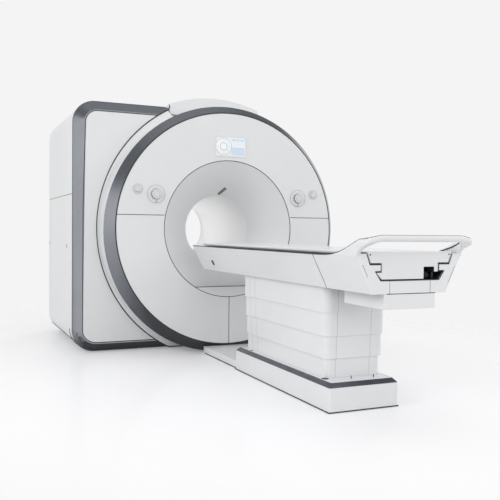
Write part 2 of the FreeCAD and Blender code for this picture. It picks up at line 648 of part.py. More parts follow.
def housing_panels():
    """White front panels: the large one left of the drum and a small one low at its right."""
    inset = BAND_WALL + FIT
    wire = house_wire(PANEL_LEFT - inset, PANEL_Z0 + inset, PANEL_Z1 - inset,
                      PANEL_CORNER - inset, HOUSE_Y)
    plate = Part.Face(wire).extrude(Vector(0, COVER_WALL, 0))
    return group([plate.cut(drum_hole())])


def housing_tube():
    back = REAR_Y - REAR_COVER_DEPTH - SEAM
    shell = house_plate(0.0, BAND_Y, back).cut(house_plate(COVER_WALL, BAND_Y, back))
    underside = box(HOUSE_FOOT_W - HOUSE_LEFT, BAND_Y, 0, HOUSE_RIGHT - HOUSE_FOOT_W, REAR_Y,
                    HOUSE_Z0 + COVER_WALL)
    return shell.cut(underside)


def housing_covers():
    shell = housing_tube()
    far = 2 * HOUSE_LEFT
    upper = shell.common(box(-far, -far, SIDE_SEAM_Z + SEAM / 2, far, far, far * 2))
    hatch = box(-TURRET_HATCH_HALF_W, TURRET_HATCH_Y0, SIDE_SEAM_Z, TURRET_HATCH_HALF_W,
                TURRET_HATCH_Y1, far)
    upper = upper.cut(hatch)
    lower = shell.common(box(-far, -far, -far, far, far, SIDE_SEAM_Z - SEAM / 2))
    return one_solid(upper), lower


def rear_cover():
    y0 = REAR_Y - REAR_COVER_DEPTH
    outer = house_plate(0.0, y0, REAR_Y)
    rim = [e for e in outer.Edges if abs(e.CenterOfMass.y - REAR_Y) < 0.1]
    outer = outer.makeFillet(REAR_ROUND, rim)
    inner = house_plate(REAR_ROUND, y0, REAR_Y - COVER_WALL)
    mouth = disc(REAR_MOUTH_R + SEAM, y0, REAR_Y)
    return one_solid(outer.cut(inner).cut(mouth))


def rear_funnel():
    return funnel(REAR_MOUTH_R, REAR_Y, -1)


def turret_block(inset, bottom):
    block = disc(TURRET_R - inset, TURRET_Y0 + inset, TURRET_Y1 - inset)
    return block.common(box(-TURRET_HALF_W + inset, TURRET_Y0, bottom, TURRET_HALF_W - inset,
                            TURRET_Y1, BORE_Z + TURRET_R))


def turret_cover():
    """Arched cover over the service turret, standing on the housing and the drum."""
    cover = turret_block(0.0, BORE_Z).cut(turret_block(COVER_WALL, BORE_Z))
    body = house_plate(0.0, BAND_Y, REAR_Y)
    cover = cover.cut(body).cut(slope_block(0.0)).cut(disc(DRUM_R, TURRET_Y0, BAND_Y))
    return max(cover.Solids, key=lambda s: s.Volume)


# ---- magnet ------------------------------------------------------------------------------
def hollow_drum(r_in, r_out, half_l, wall):
    outer = tube(r_in, r_out, -half_l, half_l)
    return outer.cut(tube(r_in + wall, r_out - wall, -half_l + wall, half_l - wall))


def spoke(angle, start, end, y):
    """Round post that stands out from the bore axis between two radii."""
    out = Vector(math.cos(math.radians(angle)), 0, math.sin(math.radians(angle)))
    return Part.makeCylinder(STANDOFF_R, end - start, Vector(0, y, BORE_Z) + out * start, out)


def cover_standoffs():
    """Posts welded to the vessel that carry the drum, the front, the housing and the rear."""
    posts = []
    bed = VESSEL_R - VESSEL_WALL
    for angle in (45, 135, 225, 315):
        posts.append(spoke(angle, bed, DRUM_R - COVER_WALL - FIT, -VESSEL_HALF_L + STANDOFF_INSET))
        out = Vector(math.cos(math.radians(angle)), 0, math.sin(math.radians(angle)))
        front = Vector(0, FACE_Y + FACE_WALL + FIT, BORE_Z) + out * FRONT_POST_R
        posts.append(Part.makeCylinder(STANDOFF_R, -VESSEL_HALF_L + VESSEL_WALL - front.y, front,
                                       Vector(0, 1, 0)))
        rear = Vector(0, VESSEL_HALF_L - VESSEL_WALL, BORE_Z) + out * FRONT_POST_R
        posts.append(Part.makeCylinder(STANDOFF_R, REAR_Y - COVER_WALL - FIT - rear.y, rear,
                                       Vector(0, 1, 0)))
    for angle, reach in ((0, HOUSE_RIGHT), (180, HOUSE_LEFT)):
        posts.append(spoke(angle, bed, reach - COVER_WALL - FIT, 0))
    return posts


def vacuum_vessel():
    """Vacuum vessel with the service neck, the vent stub and the posts for the covers."""
    vessel = hollow_drum(VESSEL_BORE_R, VESSEL_R, VESSEL_HALF_L, VESSEL_WALL)
    base = BORE_Z + VESSEL_R - VESSEL_WALL
    neck = Part.makeCylinder(TURRET_NECK_R, TURRET_NECK_TOP - base, Vector(0, 0, base))
    vent = Part.makeCylinder(VENT_R, COLD_HEAD_H, Vector(0, -SERVICE_Y, TURRET_NECK_TOP))
    return one_solid(vessel.fuse([neck, vent] + cover_standoffs()))


def helium_vessel():
    """Coil vessel held in the vacuum vessel by eight radial ties."""
    vessel = hollow_drum(HELIUM_BORE_R, HELIUM_R, HELIUM_HALF_L, HELIUM_WALL)
    reach = VESSEL_R - VESSEL_WALL
    start = HELIUM_R - HELIUM_WALL
    ties = []
    for y in (-STRUT_AT * HELIUM_HALF_L, STRUT_AT * HELIUM_HALF_L):
        for angle in (45, 135, 225, 315):
            out = Vector(math.cos(math.radians(angle)), 0, math.sin(math.radians(angle)))
            ties.append(Part.makeCylinder(STRUT_R, reach - start,
                                          Vector(0, y, BORE_Z) + out * start, out))
    limit = disc(reach, -VESSEL_HALF_L, VESSEL_HALF_L)
    return one_solid(vessel.fuse(ties).common(limit))


def coil_windings():
    """Main windings on the vessel's bore wall and the shield pair under its outer wall."""
    coils = []
    bed = HELIUM_BORE_R + HELIUM_WALL
    for share, width in zip(MAIN_COIL_AT, MAIN_COIL_W):
        for side in (-1, 1):
            middle = side * share * HELIUM_HALF_L
            coils.append(tube(bed, bed + MAIN_COIL_H, middle - width / 2, middle + width / 2))
    roof = HELIUM_R - HELIUM_WALL
    for side in (-1, 1):
        middle = side * SHIELD_COIL_AT * HELIUM_HALF_L
        coils.append(tube(roof - SHIELD_COIL_H, roof, middle - SHIELD_COIL_W / 2,
                          middle + SHIELD_COIL_W / 2))
    return group(coils)


def gradient_coil():
    return tube(GRADIENT_IN_R, VESSEL_BORE_R, -GRADIENT_HALF_L, GRADIENT_HALF_L)


def rf_body_coil():
    """Former with sixteen rungs that bear against the gradient coil."""
    coil = tube(RF_R, RF_R + RF_WALL, -RF_HALF_L, RF_HALF_L)
    rungs = []
    for i in range(RF_RUNGS):
        rung = box(-RF_RUNG_W / 2, -RF_HALF_L, RF_R + RF_WALL / 2, RF_RUNG_W / 2, RF_HALF_L,
                   GRADIENT_IN_R + RF_WALL)
        rung.translate(Vector(0, 0, BORE_Z))
        rung.rotate(Vector(0, 0, BORE_Z), Vector(0, 1, 0), 360.0 * i / RF_RUNGS)
        rungs.append(rung)
    coil = coil.fuse(rungs).common(disc(GRADIENT_IN_R, -RF_HALF_L, RF_HALF_L))
    return one_solid(coil)


def cold_head():
    """Cryocooler standing on the service neck: flange, motor barrel and valve block."""
    seat = Vector(0, SERVICE_Y, TURRET_NECK_TOP)
    flange = Part.makeCylinder(COLD_HEAD_R, COLD_HEAD_FLANGE, seat)
    barrel = Part.makeCylinder(COLD_BARREL_R, COLD_HEAD_H, seat)
    return one_solid(flange.fuse(barrel))


def magnet_foot(side_x, side_y):
    x = side_x * FOOT_X
    y = side_y * FOOT_Y
    plate = box(x - FOOT_HALF_W, y - FOOT_HALF_L, 0, x + FOOT_HALF_W, y + FOOT_HALF_L, FOOT_PLATE)
    inner = x - side_x * FOOT_HALF_W
    web = box(inner - FOOT_WEB_HALF, y - FOOT_HALF_L, 0, inner + FOOT_WEB_HALF, y + FOOT_HALF_L,
              BORE_Z)
    foot = plate.fuse(web).cut(disc(VESSEL_R, -VESSEL_HALF_L, VESSEL_HALF_L))
    hole = Part.makeCylinder(ANCHOR_R, FOOT_PLATE, Vector(x, y, 0))
    return one_solid(foot.cut(hole))


def magnet_feet():
    return group([magnet_foot(a, b) for a in (-1, 1) for b in (-1, 1)])


def bore_bridge():
    """Closed hollow segment along the bottom of the bore that carries the tabletop."""
    def segment(inset):
        y0 = FACE_Y + FUNNEL_DEPTH + inset
        y1 = REAR_Y - FUNNEL_DEPTH - inset
        room = box(-BORE_R, y0, 0, BORE_R, y1, LEDGE_Z - inset)
        return disc(BORE_R - inset, y0, y1).common(room)
    return one_solid(segment(0.0).cut(segment(BRIDGE_WALL)))


# ---- tabletop -----------------------------------------------------------------------------
def board_section():
    bottom = BOARD_TOP_Z - BOARD_T
    edge = BOARD_T / 2
    y = FOOT_END_Y + CARRIAGE_L
    w = BOARD_HALF_W

    def at(x, z):
        return Vector(x, y, z)
    crown = Part.Arc(at(-w + edge, BOARD_TOP_Z), at(0, BOARD_TOP_Z - BOARD_DISH),
                     at(w - edge, BOARD_TOP_Z)).toShape()
    right = Part.Arc(at(w - edge, BOARD_TOP_Z), at(w, BOARD_TOP_Z - edge),
                     at(w - edge, bottom)).toShape()
    left = Part.Arc(at(-w + edge, bottom), at(-w, BOARD_TOP_Z - edge),
                    at(-w + edge, BOARD_TOP_Z)).toShape()
    under = Part.makeLine(at(w - edge, bottom), at(-w + edge, bottom))
    return Part.Face(Part.Wire([crown, right, under, left]))


def tabletop_board():
    """Thin dished board on two runners."""
    length = HEAD_END_Y - FOOT_END_Y - CARRIAGE_L
    board = board_section().extrude(Vector(0, length, 0))
    y0 = FOOT_END_Y + CARRIAGE_L
    runner = box(RUNNER_X0, y0, LEDGE_Z + FIT, RUNNER_X1, HEAD_END_Y, BOARD_TOP_Z - BOARD_T)
    return one_solid(board.fuse([runner, mirrored(runner)]).removeSplitter())


def carriage_half():
    return [
        (CARRIAGE_TOP_HALF_W, BOARD_TOP_Z),
        (CARRIAGE_FLANGE_HALF_W, CARRIAGE_FLANGE_Z),
        (CARRIAGE_NECK_HALF_W, CARRIAGE_FLANGE_Z),
        (CARRIAGE_NECK_HALF_W, CARRIAGE_TAIL_Z),
        (CARRIAGE_TAIL_HALF_W, CARRIAGE_TAIL_Z),
        (CARRIAGE_NECK_HALF_W, CARRIAGE_BOT_Z),
    ]


def tabletop_carriage():
    """Stepped block at the foot end that rides in the table's guide, notched for the belt."""
    y1 = FOOT_END_Y + CARRIAGE_L
    block = prism(both_sides(carriage_half()), FOOT_END_Y, y1)
    notch = box(NOTCH_X0, FOOT_END_Y, CARRIAGE_BOT_Z, NOTCH_X1, y1, NOTCH_Z)
    tail = box(STEP_X, FOOT_END_Y, CARRIAGE_BOT_Z, CARRIAGE_TAIL_HALF_W, y1, CARRIAGE_TAIL_Z)
    return one_solid(block.cut(notch).cut(tail))


# ---- table body ----------------------------------------------------------------------------
def slot_half(top):
    """Right half of the carriage's guide, from a height down: its outline plus the gap."""
    slope = (CARRIAGE_TOP_HALF_W - CARRIAGE_FLANGE_HALF_W) / (BOARD_TOP_Z - CARRIAGE_FLANGE_Z)
    ledge_x = CARRIAGE_FLANGE_HALF_W + SLOT_GAP
    neck_x = CARRIAGE_NECK_HALF_W + SLOT_GAP
    tail_z = CARRIAGE_TAIL_Z + SLOT_GAP
    return [
        (ledge_x + slope * (top - LEDGE_Z), top),
        (ledge_x, LEDGE_Z),
        (neck_x, LEDGE_Z),
        (neck_x, tail_z),
        (CARRIAGE_TAIL_HALF_W + SLOT_GAP, tail_z),
        (neck_x, CARRIAGE_BOT_Z - SLOT_GAP),
    ]


def table_channel():
    """Folded guide for the carriage along the whole table."""
    deck = BODY_TOP_Z - RIM_DROP
    edge = (BODY_TOP_HALF_W - RIM_W + SIDE_WALL, deck)
    line = both_sides([edge] + slot_half(deck))
    return prism(strip(line[::-1], DECK_WALL), FOOT_END_Y + END_WALL + FIT, HEAD_END_Y - CAP_T)


def body_edge_x(z):
    """Half width of the table body at a height: the sides lean out towards the top."""
    share = (z - BODY_BOT_Z) / (BODY_TOP_Z - BODY_BOT_Z)
    return BODY_BOT_HALF_W + share * (BODY_TOP_HALF_W - BODY_BOT_HALF_W)


def side_cover():
    """Leaning side cover with its turned-in rim and foot, right-hand side."""
    lip = BODY_TOP_HALF_W - RIM_W
    line = [
        (lip, BODY_TOP_Z - RIM_DROP),
        (lip, BODY_TOP_Z),
        (BODY_TOP_HALF_W, BODY_TOP_Z),
        (BODY_BOT_HALF_W, BODY_BOT_Z),
        (BODY_BOT_HALF_W - RIM_W, BODY_BOT_Z),
    ]
    return prism(strip(line, SIDE_WALL), END_SEAM_Y + SEAM, HEAD_END_Y - CAP_T)


def rise_run():
    """Level length of the sweep between the rim and the top of the loop."""
    angle = math.radians(RISE_ANGLE)
    rise = LOOP_TOP_Z - BODY_TOP_Z
    rounds = RISE_LOW_R + RISE_HIGH_R
    straight = (rise - rounds * (1 - math.cos(angle))) / math.tan(angle)
    return rounds * math.sin(angle) + straight


def cheek_outline():
    """Side view of the foot-end cover: a box whose rim sweeps up into the loop's crossbar."""
    def at(y, z):
        return Vector(0, y, z)

    def bend(y, z, radius, turn, toward):
        """Point reached on a round that starts level at (y, z); toward is +1 up or -1 down."""
        return at(y - toward * radius * math.sin(turn), z + toward * radius * (1 - math.cos(turn)))
    angle = math.radians(RISE_ANGLE)
    top_y = LOOP_Y + END_WALL
    low_y = top_y + rise_run()
    low = at(low_y, BODY_TOP_Z)
    low_mid = bend(low_y, BODY_TOP_Z, RISE_LOW_R, angle / 2, 1)
    low_end = bend(low_y, BODY_TOP_Z, RISE_LOW_R, angle, 1)
    high = at(top_y, LOOP_TOP_Z)
    high_mid = bend(top_y, LOOP_TOP_Z, RISE_HIGH_R, angle / 2, -1)
    high_end = bend(top_y, LOOP_TOP_Z, RISE_HIGH_R, angle, -1)
    bar_low = at(LOOP_Y, LOOP_TOP_Z - LOOP_BAR_H)
    lean = at(FOOT_END_Y, END_TOP_Z)
    lean_mid = at((LOOP_Y + FOOT_END_Y) / 2 + LOOP_LEAN,
                  (LOOP_TOP_Z - LOOP_BAR_H + END_TOP_Z) / 2 + LOOP_LEAN)
    start = at(END_SEAM_Y, BODY_TOP_Z)
    floor_in = at(END_SEAM_Y, BODY_BOT_Z)
    floor_out = at(FOOT_END_Y, BODY_BOT_Z)
    return Part.Wire([
        Part.makeLine(floor_in, floor_out),
        Part.makeLine(floor_out, lean),
        Part.Arc(lean, lean_mid, bar_low).toShape(),
        Part.makeLine(bar_low, at(LOOP_Y, LOOP_TOP_Z)),
        Part.makeLine(at(LOOP_Y, LOOP_TOP_Z), high),
        Part.Arc(high, high_mid, high_end).toShape(),
        Part.makeLine(high_end, low_end),
        Part.Arc(low_end, low_mid, low).toShape(),
        Part.makeLine(low, start),
        Part.makeLine(start, floor_in),
    ])


def body_section(z0, z1, inset):
    """Leaning section of the table body between two heights."""
    return [
        (body_edge_x(z0) - inset, z0), (body_edge_x(z1) - inset, z1),
        (-body_edge_x(z1) + inset, z1), (-body_edge_x(z0) + inset, z0),
    ]


def foot_envelope():
    """Leaning body below the rim, upright rounded loop above it."""
    lower = prism(body_section(BODY_BOT_Z, BODY_TOP_Z, 0), FOOT_END_Y, END_SEAM_Y)
    corners = [e for e in lower.Edges if abs(e.CenterOfMass.y - FOOT_END_Y) < 0.1
               and abs(e.CenterOfMass.x) > BODY_BOT_HALF_W]
    lower = lower.makeFillet(END_ROUND, corners)
    upper = rounded_block(BODY_TOP_HALF_W, LOOP_Y, END_SEAM_Y + LOOP_CORNER, LOOP_CORNER,
                          BODY_TOP_Z, LOOP_TOP_Z)
    return lower.fuse(upper)


def foot_cover():
    """Moulded foot-end cover: end face, side walls and the upswept grab loop in one piece."""
    far = 2 * LOOP_TOP_Z
    cheek = Part.Face(cheek_outline()).extrude(Vector(2 * BODY_TOP_HALF_W, 0, 0))
    cheek.translate(Vector(-BODY_TOP_HALF_W, 0, 0))
    shell = cheek.common(foot_envelope())
    deck = BODY_TOP_Z - RIM_DROP
    above = rounded_block(BODY_TOP_HALF_W - RIM_W, LOOP_Y + LOOP_BAR_T, END_SEAM_Y + LOOP_CORNER,
                          LOOP_CORNER - RIM_W, deck, far)
    end_wall = box(-BODY_TOP_HALF_W + RIM_W, FOOT_END_Y, deck, BODY_TOP_HALF_W - RIM_W,
                   FOOT_END_Y + END_WALL, END_TOP_Z)
    hollow = prism(body_section(BODY_BOT_Z + SIDE_WALL, deck, SIDE_WALL),
                   FOOT_END_Y + END_WALL, END_SEAM_Y)
    mouth = box(-BODY_BOT_HALF_W + RIM_W, FOOT_END_Y + END_WALL, BODY_BOT_Z,
                BODY_BOT_HALF_W - RIM_W, END_SEAM_Y, BODY_BOT_Z + SIDE_WALL)
    shell = shell.cut(above).fuse(end_wall).cut(hollow).cut(mouth)
    slot = prism(both_sides(slot_half(far)), FOOT_END_Y, FOOT_END_Y + END_WALL)
    panel = box(-PANEL_END_HALF_W, FOOT_END_Y, BODY_BOT_Z, PANEL_END_HALF_W,
                FOOT_END_Y + END_WALL, CARRIAGE_BOT_Z)
    return one_solid(shell.cut(slot).cut(panel).removeSplitter())


def end_access_panel():
    """Removable panel below the carriage in the end face."""
    return box(-PANEL_END_HALF_W + SEAM, FOOT_END_Y, BODY_BOT_Z, PANEL_END_HALF_W - SEAM,
               FOOT_END_Y + END_WALL, CARRIAGE_BOT_Z - SLOT_GAP)


def head_end_cap():
    """End cap at the funnel, open where the tabletop passes."""
    cap = prism(body_section(BODY_BOT_Z, BODY_TOP_Z, 0), HEAD_END_Y - CAP_T, HEAD_END_Y)
    slot = prism(both_sides(slot_half(2 * BODY_TOP_Z)), HEAD_END_Y - CAP_T, HEAD_END_Y)
    return one_solid(cap.cut(slot))


def underside_pan():
    edge = BODY_BOT_HALF_W - RIM_W - FIT
    return box(-edge, FOOT_END_Y + END_WALL + FIT, BODY_BOT_Z, edge, HEAD_END_Y - CAP_T,
               BODY_BOT_Z + PAN_WALL)


def table_frame():
    """Two square-tube beams between the pan and the guide, tied at both lift columns."""
    y0 = FOOT_END_Y + FRAME_END_GAP
    y1 = HEAD_END_Y - FRAME_END_GAP
    z0 = BODY_BOT_Z + PAN_WALL
    z1 = CARRIAGE_BOT_Z - SLOT_GAP - DECK_WALL
    half = FRAME_BEAM_W / 2
    parts = []
    for x in (-FRAME_X, FRAME_X):
        beam = box(x - half, y0, z0, x + half, y1, z1)
        bore = box(x - half + FRAME_WALL, y0, z0 + FRAME_WALL, x + half - FRAME_WALL, y1,
                   z1 - FRAME_WALL)
        parts.append(beam.cut(bore))
    for y in LIFT_Y:
        parts.append(box(-FRAME_X + half, y - half, z0, FRAME_X - half, y + half, z1))
    return one_solid(parts[0].fuse(parts[1:]))


def lower_box():
    """Closed housing under the foot end, open at its top against the pan."""
    outer = box(-BOX_HALF_W, FOOT_END_Y, BOX_Z0, BOX_HALF_W, BOX_Y1, BODY_BOT_Z - FIT)
    inner = box(-BOX_HALF_W + BOX_WALL, FOOT_END_Y + BOX_WALL, BOX_Z0 + BOX_WALL,
                BOX_HALF_W - BOX_WALL, BOX_Y1 - BOX_WALL, BODY_BOT_Z)
    return outer.cut(inner)


def accessory_hook():
    """Small black catch low on the left side cover."""
    low = HOOK_Z - HOOK_H / 2
    high = HOOK_Z + HOOK_H / 2
    section = [
        (-body_edge_x(low), low), (-body_edge_x(high), high),
        (-body_edge_x(high) - HOOK_T, high), (-body_edge_x(low) - HOOK_T, low),
    ]
    return prism(section, HOOK_Y - HOOK_HALF_L, HOOK_Y + HOOK_HALF_L)


# ---- table drive -----------------------------------------------------------------------
def along_x(radius, x0, x1, y, z=PULLEY_Z):
    return Part.makeCylinder(radius, x1 - x0, Vector(x0, y, z), Vector(1, 0, 0))


def pulley(y, axle_x0, axle_x1):
    """Toothed pulley on its axle."""
    x0 = PULLEY_X - PULLEY_W / 2
    x1 = PULLEY_X + PULLEY_W / 2
    wheel = along_x(PULLEY_R, x0, x1, y)
    for i in range(PULLEY_TEETH):
        angle = 2 * math.pi * i / PULLEY_TEETH
        wheel = wheel.cut(along_x(TOOTH_R, x0, x1, y + PULLEY_R * math.cos(angle),
                                  PULLEY_Z + PULLEY_R * math.sin(angle)))
    return one_solid(wheel.fuse(along_x(AXLE_R, axle_x0, axle_x1, y)))


def drive_pulley():
    return pulley(DRIVE_PULLEY_Y, MOTOR_X1 - MOTOR_SOCKET + AXLE_PROUD,
                  PULLEY_X + PULLEY_W / 2 + AXLE_PROUD)


def idler_pulley():
    return pulley(IDLER_Y, PULLEY_X - PULLEY_W / 2 - AXLE_PROUD, BEARING_X0 + BEARING_T)


def channel_floor():
    return CARRIAGE_BOT_Z - SLOT_GAP


def drive_motor():
    """Gear motor on a pedestal, with a socket for the pulley's axle."""
    barrel = along_x(MOTOR_R, MOTOR_X0, MOTOR_X1, DRIVE_PULLEY_Y)
    stand = box(MOTOR_X0, DRIVE_PULLEY_Y - MOTOR_R, channel_floor(), MOTOR_X1,
                DRIVE_PULLEY_Y + MOTOR_R, PULLEY_Z)
    socket = along_x(AXLE_R + FIT, MOTOR_X1 - MOTOR_SOCKET, MOTOR_X1, DRIVE_PULLEY_Y)
    return one_solid(barrel.fuse(stand).cut(socket))


def idler_bearing():
    block = box(BEARING_X0, IDLER_Y - BEARING_HALF_L, channel_floor(), BEARING_X0 + BEARING_T,
                IDLER_Y + BEARING_HALF_L, PULLEY_Z + BEARING_HEAD)
    return block.cut(along_x(AXLE_R + FIT, BEARING_X0, BEARING_X0 + BEARING_T, IDLER_Y))


def drive_belt():
    """Closed belt round both pulleys."""
    def loop(radius):
        ends = [along_x(radius, PULLEY_X - BELT_W / 2, PULLEY_X + BELT_W / 2, y)
                for y in (IDLER_Y, DRIVE_PULLEY_Y)]
        run = box(PULLEY_X - BELT_W / 2, IDLER_Y, PULLEY_Z - radius, PULLEY_X + BELT_W / 2,
                  DRIVE_PULLEY_Y, PULLEY_Z + radius)
        return run.fuse(ends)
    inside = PULLEY_R + FIT
    return one_solid(loop(inside + BELT_T).cut(loop(inside)).removeSplitter())


# ---- column, lift and base -----------------------------------------------------------------
def column_shell(step, z0, z1):
    """Rounded tube of the telescoping column; each step fits inside the one before."""
    inset = step * (SHELL_WALL + SHELL_GAP)
    outer = rounded_block(SHELL_HALF_W - inset, SHELL_Y0 + inset, SHELL_Y1 - inset,
                          SHELL_CORNER - inset, z0, z1)
    inset += SHELL_WALL
    inner = rounded_block(SHELL_HALF_W - inset, SHELL_Y0 + inset, SHELL_Y1 - inset,
                          SHELL_CORNER - inset, z0, z1)
    shell = outer.cut(inner)
    shell.translate(Vector(SHELL_X, 0, 0))
    return shell


def column_shells():
    seams = [BASE_TOP_Z + share * (BODY_BOT_Z - BASE_TOP_Z) for share in SHELL_SEAMS_AT]
    tops = [BODY_BOT_Z] + [seam + lap for seam, lap in zip(seams, SHELL_LAPS)]
    bottoms = seams + [BASE_TOP_Z]
    return [column_shell(i, bottoms[i], tops[i]) for i in range(len(tops))]


def square_tube(width, y, z0, z1):
    half = width / 2
    inner = half - LIFT_WALL
    outer = box(-half, y - half, z0, half, y + half, z1)
    return outer.cut(box(-inner, y - inner, z0, inner, y + inner, z1))


def lift_stage(index):
    """One of three equal stages, counted from the floor; each runs inside the one below."""
    stages = 3
    length = (BODY_BOT_Z - PLATE_T + (stages - 1) * LIFT_LAP) / stages
    z0 = PLATE_T + index * (length - LIFT_LAP)
    width = LIFT_W - 2 * index * (LIFT_WALL + LIFT_PLAY)
    return group([square_tube(width, y, z0, z0 + length) for y in LIFT_Y])


def base_plate():
    """Steel plate on the floor with four anchor holes."""
    edge = BASE_WALL + PLATE_INSET
    plate = rounded_block(BASE_HALF_W - edge, BASE_Y0 + edge, BASE_Y1 - edge, BASE_CORNER, 0,
                          PLATE_T)
    anchor_x = BASE_HALF_W - BASE_ANCHOR_SIDE
    for x in (-anchor_x, anchor_x):
        for y in (BASE_Y0 + BASE_ANCHOR_END, BASE_Y1 - BASE_ANCHOR_END):
            plate = plate.cut(Part.makeCylinder(BASE_ANCHOR_R, PLATE_T, Vector(x, y, 0)))
    return plate


def base_plinth():
    """White skirt round the base, turned in at its foot to meet the steel plate."""
    skirt = rounded_block(BASE_HALF_W, BASE_Y0, BASE_Y1, BASE_CORNER, BASE_FLOOR_GAP, BASE_SIDE_Z)
    inner = rounded_block(BASE_HALF_W - BASE_WALL, BASE_Y0 + BASE_WALL, BASE_Y1 - BASE_WALL,
                          BASE_CORNER - BASE_WALL, PLATE_T, BASE_SIDE_Z)
    edge = BASE_WALL + PLATE_INSET
    foot = rounded_block(BASE_HALF_W - edge, BASE_Y0 + edge, BASE_Y1 - edge, BASE_CORNER, 0,
                         PLATE_T)
    return skirt.cut(inner).cut(foot)


def base_edge_trim():
    """Dark bevelled strip round the top of the base."""
    def bevel(inset):
        low = rounded_wire(-BASE_HALF_W + inset, BASE_HALF_W - inset, BASE_Y0 + inset,
                           BASE_Y1 - inset, BASE_CORNER - inset / 2, level(BASE_SIDE_Z))
        rise = inset + BASE_BEVEL
        high = rounded_wire(-BASE_HALF_W + rise, BASE_HALF_W - rise, BASE_Y0 + rise,
                            BASE_Y1 - rise, BASE_CORNER / 2, level(BASE_TOP_Z))
        return Part.makeLoft([low, high], True, True)
    return bevel(0).cut(bevel(BASE_WALL))


def base_top():
    """White top of the base inside the bevelled strip, open round the lift tubes."""
    edge = BASE_BEVEL + BASE_WALL + FIT
    plate = rounded_block(BASE_HALF_W - edge, BASE_Y0 + edge, BASE_Y1 - edge, BASE_CORNER / 2,
                          BASE_TOP_Z - BASE_WALL, BASE_TOP_Z)
    half = LIFT_W / 2 + SEAM
    for y in LIFT_Y:
        plate = plate.cut(box(-half, y - half, 0, half, y + half, BASE_TOP_Z))
    return plate


def connector_duct():
    """Low cover over the lines between the base and the magnet, tucked under the ring."""
    y0 = BASE_Y1 + FIT
    under_ring = (BORE_Z - DUCT_H - FACE_R) * RING_DEPTH / (DRUM_R - FACE_R)
    y1 = FACE_Y + under_ring - 2 * FIT
    outer = box(-DUCT_HALF_W, y0, 0, DUCT_HALF_W, y1, DUCT_H)
    inner = box(-DUCT_HALF_W + BASE_WALL, y0, 0, DUCT_HALF_W - BASE_WALL, y1,
                DUCT_H - BASE_WALL)
    return outer.cut(inner)


def build():
    upper, lower_left, lower_right = front_covers()
    housing_upper, housing_lower = housing_covers()
    shells = column_shells()
    side = side_cover()
    return {
        "front_cover_upper": upper,
        "front_cover_lower_left": lower_left,
        "front_cover_lower_right": lower_right,
        "front_accent_ring": accent_ring(),
        "drum_cover": drum_cover(),
        "front_funnel": front_funnel(),
        "funnel_sill": funnel_sill(),
        "laser_window": laser_window(),
        "bore_liner": bore_liner(),
        "bore_bridge": bore_bridge(),
        "display_bezel": display_bezel(),
        "display_screen": display_screen(),
        "control_bezels": control_bezels(),
        "jog_dial_left": jog_dial(-1),
        "jog_dial_right": jog_dial(1),
        "stop_button_left": stop_button(-1),
        "stop_button_right": stop_button(1),
        "housing_panels": housing_panels(),
        "housing_band": housing_band(),
        "housing_cover_upper": housing_upper,
        "housing_cover_lower": housing_lower,
        "turret_cover": turret_cover(),
        "rear_cover": rear_cover(),
        "rear_funnel": rear_funnel(),
        "vacuum_vessel": vacuum_vessel(),
        "helium_vessel": helium_vessel(),
        "coil_windings": coil_windings(),
        "gradient_coil": gradient_coil(),
        "rf_body_coil": rf_body_coil(),
        "cold_head": cold_head(),
        "magnet_feet": magnet_feet(),
        "base_plate": base_plate(),
        "base_plinth": base_plinth(),
        "base_edge_trim": base_edge_trim(),
        "base_top": base_top(),
        "connector_duct": connector_duct(),
        "lift_tube_fixed": lift_stage(0),
        "lift_tube_middle": lift_stage(1),
        "lift_tube_upper": lift_stage(2),
        "column_shell_1": shells[0],
        "column_shell_2": shells[1],
        "column_shell_3": shells[2],
        "column_shell_4": shells[3],
        "table_frame": table_frame(),
        "table_channel": table_channel(),
        "side_cover_right": side,
        "side_cover_left": mirrored(side),
        "foot_cover": foot_cover(),
        "end_access_panel": end_access_panel(),
        "head_end_cap": head_end_cap(),
        "underside_pan": underside_pan(),
        "lower_box": lower_box(),
        "accessory_hook": accessory_hook(),
        "drive_motor": drive_motor(),
        "drive_pulley": drive_pulley(),
        "idler_pulley": idler_pulley(),
        "idler_bearing": idler_bearing(),
        "drive_belt": drive_belt(),
        "tabletop_board": tabletop_board(),
        "tabletop_carriage": tabletop_carriage(),
    }


os.makedirs("parts", exist_ok=True)
for name, shape in build().items():
    shape.exportStep("parts/" + name + ".step")
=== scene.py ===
"""Looks of the MRI scanner: rounded covers, joints, controls, finishes, studio and camera."""
import json
from math import atan2, cos, degrees, hypot, pi, radians, sin, sqrt

import bmesh
import bpy
from mathutils import Matrix, Vector

